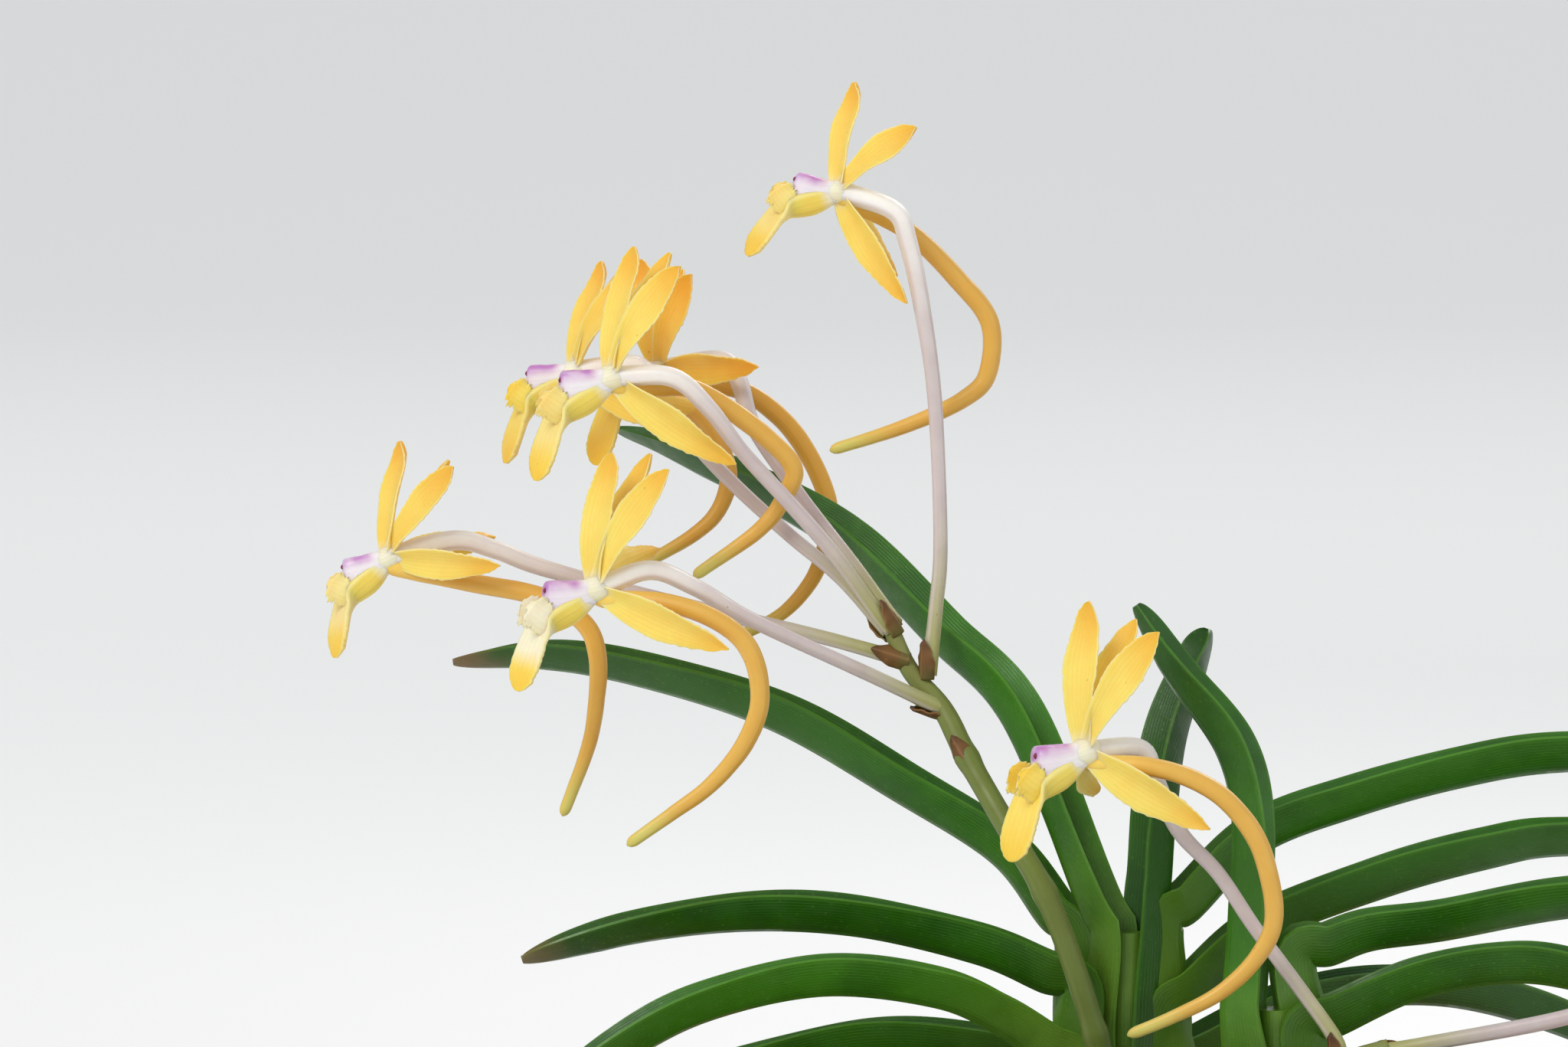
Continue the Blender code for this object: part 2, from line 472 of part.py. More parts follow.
def build_moss(material, holes):
    """The moss that fills the pot, mounded on top, with plain holes for stems and roots."""
    bottom = POT_FLOOR + GAP
    rows = []
    side_levels = (bottom, MOSS_EDGE * 0.5, MOSS_EDGE - 2.0)
    for level in side_levels:
        reach = inner_radius(level) - GAP
        rows.append([(reach, level)] * POT_SIDES)
    bm = bmesh.new()
    rings = []
    for row in rows:
        ring = []
        for index, (reach, level) in enumerate(row):
            turn = 2 * math.pi * index / POT_SIDES
            ring.append(bm.verts.new((reach * math.cos(turn) * MM, reach * math.sin(turn) * MM, level * MM)))
        rings.append(ring)
    outer = inner_radius(MOSS_EDGE) - 1.2
    for share in (1.0, 0.86, 0.68, 0.5, 0.32, 0.14):
        ring = []
        for index in range(POT_SIDES):
            turn = 2 * math.pi * (index + 0.5 * (share == 0.68)) / POT_SIDES
            x = outer * share * math.cos(turn)
            y = outer * share * math.sin(turn)
            ring.append(bm.verts.new((x * MM, y * MM, moss_height(x, y) * MM)))
        rings.append(ring)
    for ring, following in zip(rings, rings[1:]):
        for index in range(POT_SIDES):
            beside = (index + 1) % POT_SIDES
            bm.faces.new((ring[index], ring[beside], following[beside], following[index]))
    bm.faces.new(rings[0])
    bm.faces.new(rings[-1])
    bmesh.ops.triangulate(bm, faces=bm.faces)
    bmesh.ops.recalc_face_normals(bm, faces=bm.faces)
    mesh = bpy.data.meshes.new("moss")
    bm.to_mesh(mesh)
    bm.free()
    moss = place("moss", mesh)
    boolean(moss, holes, "DIFFERENCE")
    return finish(moss, "moss", material)


def leaf_faces(points):
    """The way a leaf's upper face looks: up where the leaf lies level, inward where it stands."""
    start = Vector(points[0])
    end = Vector(points[-1])
    outward = Vector((end.x - start.x, end.y - start.y, 0.0)).normalized()
    side = Vector((0.0, 0.0, 1.0)).cross(outward)

    def face(_middle, ahead):
        return ahead.cross(side)

    return face


def build_leaf(name, material):
    """One folded leaf blade, whose keel lies below its midline."""
    points = LEAVES[name]
    faces = leaf_faces(points)
    leaf = blade(
        name, points, faces, LEAF_OUTLINE, LEAF_HALF_WIDTH * 2, LEAF_THICKNESS, LEAF_FOLD, LEAF_RINGS,
    )
    return finish(leaf, name, material)


def build_fan(name, foot, leaves, material):
    """A short stem and the sheaths that wrap it, one for each leaf."""
    tops = [Vector(LEAVES[leaf][0]) for leaf in leaves]
    highest = max(top.z for top in tops)
    base = Vector((foot.x, foot.y, FAN_FOOT))
    crown = Vector((foot.x, foot.y, highest - 5.0))
    stem = tube(name, (base, crown), 3.0, ((0.0, 1.0), (0.5, 1.0), (1.0, 0.6)), 8, 4)
    sheaths = []
    for leaf, top in zip(leaves, tops):
        following = Vector(LEAVES[leaf][1])
        ahead = (following - top).normalized()
        end = top - ahead * (GAP + TILT_ROOM)
        low = Vector((foot.x, foot.y, max(SHEATH_FOOT, top.z - SHEATH_REACH)))
        sheaths.append(tube(
            leaf + "_sheath", (low, end - ahead * 2.8, end), SHEATH_RADIUS, SHEATH_TAPER, 6, 5,
        ))
    boolean(stem, sheaths, "UNION")
    return finish(stem, name, material)


class Heart:
    """The heart of a bloom with its own directions: forward, sideways and up."""

    def __init__(self, spec):
        facing = math.radians(spec["facing"])
        tip = math.radians(spec["tip_up"])
        self.middle = Vector(spec["heart"])
        self.size = spec["size"]
        level = Vector((-math.cos(facing), -math.sin(facing), 0.0))
        rise = Vector((0.0, 0.0, 1.0))
        self.forward = level * math.cos(tip) + rise * math.sin(tip)
        self.upward = rise * math.cos(tip) - level * math.sin(tip)
        self.sideways = self.upward.cross(self.forward)

    def way(self, forward, sideways, upward):
        """A direction in the model from one in the bloom."""
        return self.forward * forward + self.sideways * sideways + self.upward * upward

    def spot(self, forward, sideways, upward):
        """A place in the model from one in the bloom."""
        return self.middle + self.way(forward, sideways, upward) * self.size

    def neck_end(self, spec, beyond):
        """Where the short neck behind the heart ends, or a little beyond it on the way to the stalk."""
        away = (Vector(spec["stalk"][-1]) - self.middle).normalized()
        return self.middle + away * (NECK_LENGTH + beyond)


def tepal(name, heart, outline, tip, face):
    """A petal or sepal that arches forward from the heart to its tip."""
    root = heart.spot(0.25, 0.0, 0.0)
    end = heart.middle + Vector(tip)
    arch = (root + end) / 2 + heart.forward * TEPAL_ARCH * heart.size
    shares = [step / 5 for step in range(6)]
    line = [root * (1 - t) ** 2 + arch * 2 * t * (1 - t) + end * t ** 2 for t in shares]
    looks = heart.way(*face)
    return blade(
        name, line, lambda _middle, _ahead: looks, outline, heart.size, TEPAL_THICKNESS, TEPAL_FOLD, 6,
    )


def build_bloom(name, spec, material):
    """The yellow body of one bloom: sepals, petals, lip and spur grown together round its heart."""
    heart = Heart(spec)
    size = heart.size
    ball_line = (heart.spot(-1.15, 0, 0), heart.spot(0, 0, 0), heart.spot(1.15, 0, 0))
    ball = tube("heart", ball_line, HUB_RADIUS * size, HUB_TAPER, 6, 4)
    pieces = [tepal("dorsal", heart, DORSAL_OUTLINE, spec["dorsal"], DORSAL_FACE)]
    pieces += [tepal("petal", heart, PETAL_OUTLINE, *pair) for pair in zip(spec["petals"], PETAL_FACES)]
    pieces += [tepal("sepal", heart, SEPAL_OUTLINE, *pair) for pair in zip(spec["sepals"], SEPAL_FACES)]
    for side in (1, -1):
        lobe_line = [heart.spot(f, s * side, u) for f, s, u in LOBE_LINE]
        pieces.append(blade(
            "lobe", lobe_line, lambda _middle, _ahead, side=side: heart.sideways * -side, LOBE_OUTLINE, size,
            TEPAL_THICKNESS, ((0.0, 8.0), (1.0, 8.0)), 3,
        ))
    lip_line = [heart.spot(*point) for point in LIP_LINE]
    lip_face = heart.way(*LIP_FACE)
    pieces.append(blade(
        "lip", lip_line, lambda _middle, _ahead: lip_face, LIP_OUTLINE, size, 0.7, LIP_FOLD, 7,
    ))
    spur_line = [heart.spot(0.0, 0.0, -0.2), *(Vector(point) for point in spec["spur"])]
    pieces.append(tube("spur", spur_line, SPUR_RADIUS, SPUR_TAPER, 5, 13))
    neck_line = (heart.middle, heart.neck_end(spec, 0.0))
    pieces.append(tube("neck", neck_line, PEDICEL_RADIUS, ((0.0, 1.2), (1.0, 1.0)), 5, 2))
    boolean(ball, pieces, "UNION")
    return finish(ball, name, material)


def build_column(name, spec, material):
    """The pale column in front of a bloom's heart, with its anther cap."""
    heart = Heart(spec)
    line = [heart.spot(*point) for point in COLUMN_LINE]
    column = tube(name, line, heart.size, COLUMN_TAPER, 7, 6)
    return finish(column, name, material)


def bract(name, root, ahead):
    """A small papery scale that hugs the foot of a flower stalk."""
    ahead = ahead.normalized()
    out = ahead.orthogonal().normalized()
    line = (root - ahead * 1.2 - out * 0.5, root + ahead * 0.8 - out * 0.75, root + ahead * 2.6 - out * 1.25)
    return blade(
        name, line, lambda _middle, _ahead: out, ((0.0, 1.6), (0.4, 2.2), (1.0, 0.7)), 1.0, 0.6,
        ((0.0, 20.0), (1.0, 10.0)), 3,
    )


def build_spray_stem(name, peduncle, blooms, material):
    """One spray's stem: the peduncle, a stalk to each bloom and the bracts at their feet."""
    stem = tube(name, peduncle, PEDUNCLE_RADIUS, PEDUNCLE_TAPER, 6, 3 + len(peduncle) + len(peduncle) // 2)
    pieces = []
    for bloom in blooms:
        spec = BLOOMS[bloom]
        heart = Heart(spec)
        stalk = [Vector(point) for point in spec["stalk"]]
        end = heart.neck_end(spec, GAP + TILT_ROOM)
        pieces.append(tube(bloom + "_stalk", [*stalk, end], PEDICEL_RADIUS, PEDICEL_TAPER, 5, 11))
        pieces.append(bract(bloom + "_bract", stalk[0], stalk[1] - stalk[0]))
    boolean(stem, pieces, "UNION")
    return finish(stem, name, material)


def ring_of_roots(name, foot, roots, grow):
    """A collar round the foot of a fan with the roots that leave it, grown on every side by grow."""
    rings = []
    sides = 12
    for index in range(sides):
        turn = 2 * math.pi * index / sides
        out = Vector((math.cos(turn), math.sin(turn), 0.0))
        middle = Vector((foot.x, foot.y, ROOT_COLLAR_LEVEL)) + out * ROOT_COLLAR_RADIUS
        rings.append([
            middle + (out * math.cos(lift) * 0.9 + Vector((0.0, 0.0, math.sin(lift) * 1.2))) * (1.0 + grow)
            for lift in (2 * math.pi * side / 5 for side in range(5))
        ])
    bm = bmesh.new()
    rows = [[bm.verts.new(point * MM) for point in ring] for ring in rings]
    for index in range(sides):
        row = rows[index]
        following = rows[(index + 1) % sides]
        for side in range(5):
            beside = (side + 1) % 5
            bm.faces.new((row[side], row[beside], following[beside], following[side]))
    bmesh.ops.recalc_face_normals(bm, faces=bm.faces)
    mesh = bpy.data.meshes.new(name)
    bm.to_mesh(mesh)
    bm.free()
    collar = place(name, mesh)
    runs = []
    for root in roots:
        line = [Vector(point) for point in root]
        taper = ROOT_TAPER
        if grow:
            line.append(line[-1] + (line[-1] - line[-2]).normalized() * grow * 1.4)
            taper = ((0.0, 1.0), (0.9, 1.0), (1.0, 0.7))
        runs.append(tube("root", line, ROOT_RADIUS + grow, taper, 5, 9))
    boolean(collar, runs, "UNION")
    return collar


def build_holes():
    """The shapes that the moss is cut by: each fan's foot and roots, a little larger."""
    holes = []
    for foot, roots in ((MAIN_FAN, MAIN_ROOTS), (SIDE_FAN, SIDE_ROOTS)):
        holes.append(ring_of_roots("hole", foot, roots, GAP + 0.15))
        low = Vector((foot.x, foot.y, FAN_FOOT - GAP))
        high = Vector((foot.x, foot.y, MOSS_TOP + 12.0))
        holes.append(tube("hole", (low, high), 3.4, ((0.0, 1.0), (1.0, 1.0)), 8, 2))
    return holes


def main():
    """Builds every node of the potted orchid."""
    clear_scene()
    clay = make_material("clay", (0.52, 0.24, 0.14), 0.85)
    moss = make_material("moss", (0.34, 0.32, 0.12), 0.95)
    leaf = make_material("leaf", (0.06, 0.2, 0.03), 0.4)
    sheath = make_material("sheath", (0.16, 0.3, 0.06), 0.5)
    petal = make_material("petal", (0.95, 0.6, 0.06), 0.5)
    column = make_material("column", (0.85, 0.72, 0.84), 0.45)
    stalk = make_material("stalk", (0.62, 0.55, 0.42), 0.5)
    root = make_material("root", (0.6, 0.6, 0.52), 0.8)
    build_pot(clay)
    build_moss(moss, build_holes())
    for foot, roots, side in ((MAIN_FAN, MAIN_ROOTS, "main"), (SIDE_FAN, SIDE_ROOTS, "side")):
        finish(ring_of_roots("roots_" + side, foot, roots, 0.0), "roots_" + side, root)
    build_fan("fan_main", MAIN_FAN, MAIN_FAN_LEAVES, sheath)
    build_fan("fan_side", SIDE_FAN, SIDE_FAN_LEAVES, sheath)
    for name in LEAVES:
        build_leaf(name, leaf)
    build_spray_stem("stem_left_spray", LEFT_PEDUNCLE, LEFT_SPRAY, stalk)
    build_spray_stem("stem_right_spray", RIGHT_PEDUNCLE, RIGHT_SPRAY, stalk)
    for name, spec in BLOOMS.items():
        build_bloom("bloom_" + name, spec, petal)
        build_column("column_" + name, spec, column)


main()
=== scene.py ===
"""Looks of a wind orchid in flower, in a clay pot of moss.

Routes, widths and thicknesses are in millimetres, as in the part's source, and turn into metres when a
mesh is made. The plant faces left, -X, and the viewer stands on the side of -Y.
"""
import bisect
import logging
import math
import random
from collections.abc import Callable
from dataclasses import dataclass, field
from enum import Enum

import bmesh
import bpy
from mathutils import Matrix, Vector, noise


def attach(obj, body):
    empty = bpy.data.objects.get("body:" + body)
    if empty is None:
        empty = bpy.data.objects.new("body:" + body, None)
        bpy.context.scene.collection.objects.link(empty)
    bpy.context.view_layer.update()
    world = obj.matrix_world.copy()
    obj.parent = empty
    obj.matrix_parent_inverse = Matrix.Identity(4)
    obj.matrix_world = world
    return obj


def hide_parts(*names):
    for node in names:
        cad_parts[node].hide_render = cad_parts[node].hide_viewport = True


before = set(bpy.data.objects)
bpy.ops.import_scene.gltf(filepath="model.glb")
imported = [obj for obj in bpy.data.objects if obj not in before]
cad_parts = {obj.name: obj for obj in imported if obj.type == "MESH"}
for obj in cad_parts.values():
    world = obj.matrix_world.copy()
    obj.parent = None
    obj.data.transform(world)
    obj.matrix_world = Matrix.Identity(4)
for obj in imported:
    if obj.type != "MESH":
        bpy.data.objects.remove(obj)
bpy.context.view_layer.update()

MM = 0.001
SEED = 23
BODY = "root"

Knots = tuple[tuple[float, float, float], ...]
Pairs = tuple[tuple[float, float], ...]
Colour = tuple[float, float, float, float]
Facing = Callable[[Vector], Vector]

log = logging.getLogger("wind orchid")


class Slot(Enum):
    """The record's material slots."""

    CLAY = "clay"
    MOSS = "moss"
    ROOT = "root"
    SHEATH = "sheath"
    LEAF = "leaf"
    STALK = "stalk"
    PETAL = "petal"
    COLUMN = "column"


def tint(red: int, green: int, blue: int) -> Colour:
    """A linear colour from screen values of 0 to 255."""
    def straight(value: int) -> float:
        """One channel without the screen's curve."""
        share = value / 255
        return share / 12.92 if share <= 0.04045 else ((share + 0.055) / 1.055) ** 2.4
    return (straight(red), straight(green), straight(blue), 1.0)


def value_along(pairs: Pairs, share: float) -> float:
    """Reads a value at a share of the length from (share, value) pairs, past the ends too."""
    for (left, low), (right, high) in zip(pairs, pairs[1:]):
        if share <= right:
            break
    return low + (high - low) * (share - left) / (right - left)


def soft_value(pairs: Pairs, share: float, reach: float = 0.07) -> float:
    """The same value with its corners rounded over a reach of the length."""
    steps = (-1.0, -0.5, 0.0, 0.5, 1.0)
    return sum(value_along(pairs, share + step * reach) for step in steps) / len(steps)


def smoothstep(low: float, high: float, value: float) -> float:
    """Rises smoothly from 0 at low to 1 at high."""
    share = min(1.0, max(0.0, (value - low) / (high - low)))
    return share * share * (3 - 2 * share)


def polar(reach: float, turn: float, height: float = 0.0) -> Vector:
    """A place at a reach from the upright axis, at a turn round it and at a height."""
    return Vector((reach * math.cos(turn), reach * math.sin(turn), height))


def spindle(width: float, start: float) -> Callable[[float], float]:
    """The radius of a stem that swells to a width in its middle. start says how blunt its ends are."""
    return lambda share: width * math.sin(math.pi * (start + (1 - 2 * start) * share))


def dome(past: float, least: float) -> float:
    """A factor that rounds off an end: 1 before it, and least at the least once past goes to 1."""
    return math.sqrt(max(least, 1 - past))


class Route:
    """A smooth path through knots given in millimetres."""

    STEPS = 24

    def __init__(self, knots: Knots) -> None:
        """Lays fine points along the path and measures it.

        Args:
            knots: points that the path passes through, in millimetres.
        """
        marks = [Vector(knot) for knot in knots]
        marks = [marks[0] * 2 - marks[1], *marks, marks[-1] * 2 - marks[-2]]
        self.fine: list[Vector] = []
        for before, start, end, after in zip(marks, marks[1:], marks[2:], marks[3:]):
            for step in range(self.STEPS):
                t = step / self.STEPS
                self.fine.append(0.5 * (
                    start * 2
                    + (end - before) * t
                    + (before * 2 - start * 5 + end * 4 - after) * t * t
                    + (start * 3 - before - end * 3 + after) * t ** 3
                ))
        self.fine.append(marks[-2])
        self.travelled = [0.0]
        for here, there in zip(self.fine, self.fine[1:]):
            self.travelled.append(self.travelled[-1] + (there - here).length)

    @property
    def length(self) -> float:
        """The path's length in millimetres."""
        return self.travelled[-1]

    def share_at(self, knot: int) -> float:
        """The share of the length at which the path passes one of its knots."""
        return self.travelled[knot * self.STEPS] / self.length

    def at(self, share: float) -> Vector:
        """The point at a share of the length, in millimetres."""
        target = self.length * min(1.0, max(0.0, share))
        place = min(len(self.fine) - 2, max(0, bisect.bisect_right(self.travelled, target) - 1))
        span = self.travelled[place + 1] - self.travelled[place]
        return self.fine[place].lerp(self.fine[place + 1], (target - self.travelled[place]) / span)

    def ahead(self, share: float) -> Vector:
        """The unit direction of travel at a share of the length."""
        reach = 0.012
        return (self.at(share + reach) - self.at(share - reach)).normalized()


@dataclass
class Skin:
    """Gathers rings of points into one mesh, with named numbers at each point for its finish."""

    name: str
    points: list[Vector] = field(default_factory=list)
    faces: list[tuple[int, ...]] = field(default_factory=list)
    coats: list[int] = field(default_factory=list)
    marks: dict[str, list[float]] = field(
        default_factory=lambda: {"along": [], "across": [], "tone": [], "age": []}
    )

    def add(self, point: Vector, along: float, across: float, tone: float, age: float = 0.0) -> int:
        """Adds one point and its marks, and returns its number."""
        self.points.append(point * MM)
        for key, value in (("along", along), ("across", across), ("tone", tone), ("age", age)):
            self.marks[key].append(value)
        return len(self.points) - 1

    def face(self, *corners: int, coat: int = 0) -> None:
        """Adds one face."""
        self.faces.append(corners)
        self.coats.append(coat)

    def join_rows(self, rows: list[list[int]], coat: int = 0) -> None:
        """Joins rows of point numbers, each a closed ring, with four-sided faces."""
        for row, following in zip(rows, rows[1:]):
            for here in range(len(row)):
                beside = (here + 1) % len(row)
                self.face(row[here], row[beside], following[beside], following[here], coat=coat)

    def tube(
        self, route: Route, radius: Callable[[float], float], sides: int, count: int, tone: float,
        coat: int = 0, shape: Callable[[float, float], float] | None = None, squash: float = 1.0,
        top: Vector | None = None, span: tuple[float, float] = (0.0, 1.0), age: float = 0.0,
    ) -> None:
        """Adds a closed round stem.

        Args:
            route: its midline.
            radius: its radius in millimetres at a share of the length.
            sides: points round it.
            count: rings along it.
            tone: a mark for its finish.
            coat: which of the piece's finishes it takes.
            shape: a factor of the radius at a share and a turn, for ribs or lumps.
            squash: its depth as a share of its width.
            top: the way that its turn starts from.
            span: what its finish reads as its start and end.
            age: a second mark for its finish.
        """
        across = top or route.ahead(0.0).orthogonal().normalized()
        first, last = span
        rows = []
        for index in range(count):
            share = index / (count - 1)
            ahead = route.ahead(share)
            across = (across - ahead * across.dot(ahead)).normalized()
            other = ahead.cross(across)
            row = []
            for side in range(sides):
                turn = 2 * math.pi * side / sides
                reach = radius(share) * (shape(share, turn) if shape else 1.0)
                spot = across * math.cos(turn) * reach + other * math.sin(turn) * reach * squash
                along = first + (last - first) * share
                row.append(self.add(route.at(share) + spot, along, math.cos(turn), tone, age))
            rows.append(row)
        self.join_rows(rows, coat)
        self.cap(rows[0], route.at(0.0), first, tone, coat, flip=True)
        self.cap(rows[-1], route.at(1.0), last, tone, coat)

    def cap(
        self, row: list[int], middle: Vector, along: float, tone: float, coat: int, flip: bool = False,
    ) -> None:
        """Closes a ring with a fan of triangles round its middle."""
        centre = self.add(middle, along, 0.0, tone)
        for here in range(len(row)):
            beside = (here + 1) % len(row)
            pair = (row[beside], row[here]) if flip else (row[here], row[beside])
            self.face(*pair, centre, coat=coat)

    def build(
        self, finishes: list[bpy.types.Material], slot: Slot, *nodes: str, crisp: float | None = None,
    ) -> bpy.types.Object:
        """Makes the piece, which rides on the plant's body and stands for its nodes.

        Args:
            finishes: its materials, in the order of the coats.
            slot: the record's slot for its finish; not used.
            nodes: the nodes of the frame that it stands for.
            crisp: the angle in degrees past which its edges stay sharp.

        Returns:
            The new object.
        """
        mesh = bpy.data.meshes.new(self.name)
        mesh.from_pydata(self.points, [], self.faces)
        for finish in finishes:
            mesh.materials.append(finish)
        mesh.polygons.foreach_set("material_index", self.coats)
        for key, values in self.marks.items():
            mesh.attributes.new(key, "FLOAT", "POINT").data.foreach_set("value", values)
        tidy = bmesh.new()
        tidy.from_mesh(mesh)
        bmesh.ops.recalc_face_normals(tidy, faces=tidy.faces)
        tidy.to_mesh(mesh)
        tidy.free()
        mesh.shade_smooth()
        if crisp:
            mesh.set_sharp_from_angle(angle=math.radians(crisp))
        piece = bpy.data.objects.new(self.name, mesh)
        bpy.context.scene.collection.objects.link(piece)
        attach(piece, BODY)
        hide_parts(*nodes)
        log.info("%s: %d faces", self.name, len(self.faces))
        return piece


@dataclass(frozen=True)
class Cut:
    """How a leaf, petal or lip is cut and folded along its route. Lengths are in millimetres."""

    outline: Pairs
    folds: Pairs
    rib: float
    edge: float
    tip_from: float = 0.85
    sharp: float = 0.5
    gutter: float = 0.25
    keel: float = 0.0
    ripple: float = 0.0
    waves: float = 3.0
    nibble: float = 0.0
    nibble_from: float = 0.5
    rows: int = 50
    columns: int = 15

    def width(self, share: float) -> float:
        """The width at a share of the length, drawn in at the tip."""
        past = max(0.0, (share - self.tip_from) / (1 - self.tip_from))
        return max(0.08, soft_value(self.outline, share) * max(0.02, 1 - past ** 2.4) ** self.sharp)

    def lay(
        self, skin: Skin, route: Route, facing: Facing, tone: float, scale: float = 1.0, twist: float = 0.0,
        age: float | Callable[[float], float] = 0.0, coat: int = 0, phase: float = 0.0,
        span: tuple[float, float] = (0.0, 1.0),
    ) -> None:
        """Adds the blade to a skin.

        Args:
            skin: the skin that takes its points and faces.
            route: its midline.
            facing: gives the way its face looks from its direction of travel.
            tone: a mark for its finish.
            scale: a factor of its width.
            twist: a turn about its midline in degrees.
            age: a second mark for its finish, which may change along its length.
            coat: which of the piece's finishes it takes.
            phase: where its waves start, so that no two blades are alike.
            span: the part of the route that it covers.
        """
        first, last = span
        rows = []
        for row in range(self.rows):
            share = first + (last - first) * (1 - (1 - row / (self.rows - 1)) ** 1.25)
            mark = age(share) if callable(age) else age
            ahead = route.ahead(share)
            face = Matrix.Rotation(math.radians(twist), 3, ahead) @ facing(ahead)
            face = (face - ahead * face.dot(ahead)).normalized()
            rows.append(self.ring(skin, route.at(share), ahead, face, share, tone, scale, mark, phase))
        skin.join_rows(rows, coat)
        size = len(rows[0])
        for end in (rows[0], rows[-1]):
            for here in range(size // 2 - 1):
                skin.face(end[here], end[here + 1], end[size - 2 - here], end[size - 1 - here], coat=coat)

    def ring(
        self, skin: Skin, middle: Vector, ahead: Vector, face: Vector, share: float, tone: float,
        scale: float, age: float, phase: float,
    ) -> list[int]:
        """Adds the points round one section of the blade, first on its face and then on its back."""
        side = ahead.cross(face)
        fold = math.radians(soft_value(self.folds, share))
        half = self.width(share) * scale / 2
        sink = (half * math.sin(fold) - self.rib / math.cos(fold)) / 2
        top = math.sqrt(1 + self.gutter ** 2) - self.gutter
        thin = 0.35 + 0.65 * min(1.0, (1 - share) / 0.12 + 0.15)
        upper, lower = [], []
        for column in range(self.columns):
            u = -1 + 2 * column / (self.columns - 1)
            rise = (math.sqrt(u * u + self.gutter ** 2) - self.gutter) / top
            lean = u / math.sqrt(u * u + self.gutter ** 2)
            turn = self.waves * 2 * math.pi * share + phase + 1.1 * (u > 0)
            wave = self.ripple * abs(u) ** 2 * math.sin(turn)
            normal = (face * math.cos(fold) - side * math.sin(fold) * lean).normalized()
            spot = middle + side * (u * half * math.cos(fold)) + face * (rise * half * math.sin(fold) - sink)
            spot += normal * wave
            if self.nibble and share > self.nibble_from:
                bite = noise.noise(Vector((share * 27.0, 3.0 * (u > 0), phase)))
                spot += side * (self.nibble * u ** 5 * bite * min(1.0, (share - self.nibble_from) * 6))
            depth = self.edge + (self.rib - self.edge) * (1 - abs(u) ** 1.6)
            depth += self.keel * math.exp(-(u / 0.12) ** 2)
            upper.append(skin.add(spot, share, u, tone, age))
            lower.append(skin.add(spot - normal * depth * thin, share, u, tone, age))
        return upper + lower[::-1]


class Graph:
    """Lays nodes in a node tree and links them."""

    def __init__(self, tree: bpy.types.NodeTree) -> None:
        """Keeps the tree that the nodes go in."""
        self.tree = tree

    def feed(self, socket: bpy.types.NodeSocket, value: object) -> None:
        """Links a socket to another one, or sets its value."""
        if isinstance(value, bpy.types.NodeSocket):
            self.tree.links.new(value, socket)
        else:
            socket.default_value = value

    def add(self, kind: str, inputs: dict | None = None, **settings: object) -> bpy.types.Node:
        """Adds a node.

        Args:
            kind: Blender's name for the type of node.
            inputs: values or sockets for its inputs, by name or number.
            settings: the node's own settings.

        Returns:
            The new node.
        """
        node = self.tree.nodes.new(kind)
        for key, value in settings.items():
            setattr(node, key, value)
        for key, value in (inputs or {}).items():
            self.feed(node.inputs[key], value)
        return node

    def mark(self, name: str) -> bpy.types.NodeSocket:
        """Reads one of the numbers kept at each point of the mesh."""
        return self.add("ShaderNodeAttribute", attribute_name=name).outputs["Fac"]

    def place(self) -> bpy.types.NodeSocket:
        """The place on the surface, in metres."""
        return self.add("ShaderNodeTexCoord").outputs["Object"]

    def math(self, operation: str, first: object, second: object = 0.0) -> bpy.types.NodeSocket:
        """The result of one sum of two values."""
        return self.add("ShaderNodeMath", {0: first, 1: second}, operation=operation).outputs[0]

    def remap(
        self, value: object, low: object, high: object, start: object = 0.0, end: object = 1.0,
    ) -> bpy.types.NodeSocket:
        """A value that rises smoothly from start to end as another goes from low to high."""
        inputs = {0: value, 1: low, 2: high, 3: start, 4: end}
        return self.add("ShaderNodeMapRange", inputs, interpolation_type="SMOOTHSTEP").outputs[0]

    def mix(self, share: object, first: object, second: object, blend: str = "MIX") -> bpy.types.NodeSocket:
        """A colour between two others."""
        inputs = {0: share, 6: first, 7: second}
        return self.add("ShaderNodeMix", inputs, data_type="RGBA", blend_type=blend).outputs[2]

    def noise(self, place: object, scale: object, detail: float = 2.0, rough: float = 0.5) -> object:
        """Soft noise from 0 to 1."""
        inputs = {"Vector": place, "Scale": scale, "Detail": detail, "Roughness": rough}
        return self.add("ShaderNodeTexNoise", inputs).outputs[0]

    def bump(self, height: object, depth_mm: float, strength: float, normal: object = None) -> object:
        """A normal bent by a height."""
        inputs = {"Height": height, "Distance": depth_mm * MM, "Strength": strength}
        node = self.add("ShaderNodeBump", inputs)
        if normal is not None:
            self.feed(node.inputs["Normal"], normal)
        return node.outputs["Normal"]

    def use(self, group: bpy.types.NodeTree, inputs: dict) -> bpy.types.bpy_prop_collection:
        """Places a shared group and returns its outputs."""
        node = self.tree.nodes.new("ShaderNodeGroup")
        node.node_tree = group
        for key, value in inputs.items():
            self.feed(node.inputs[key], value)
        return node.outputs


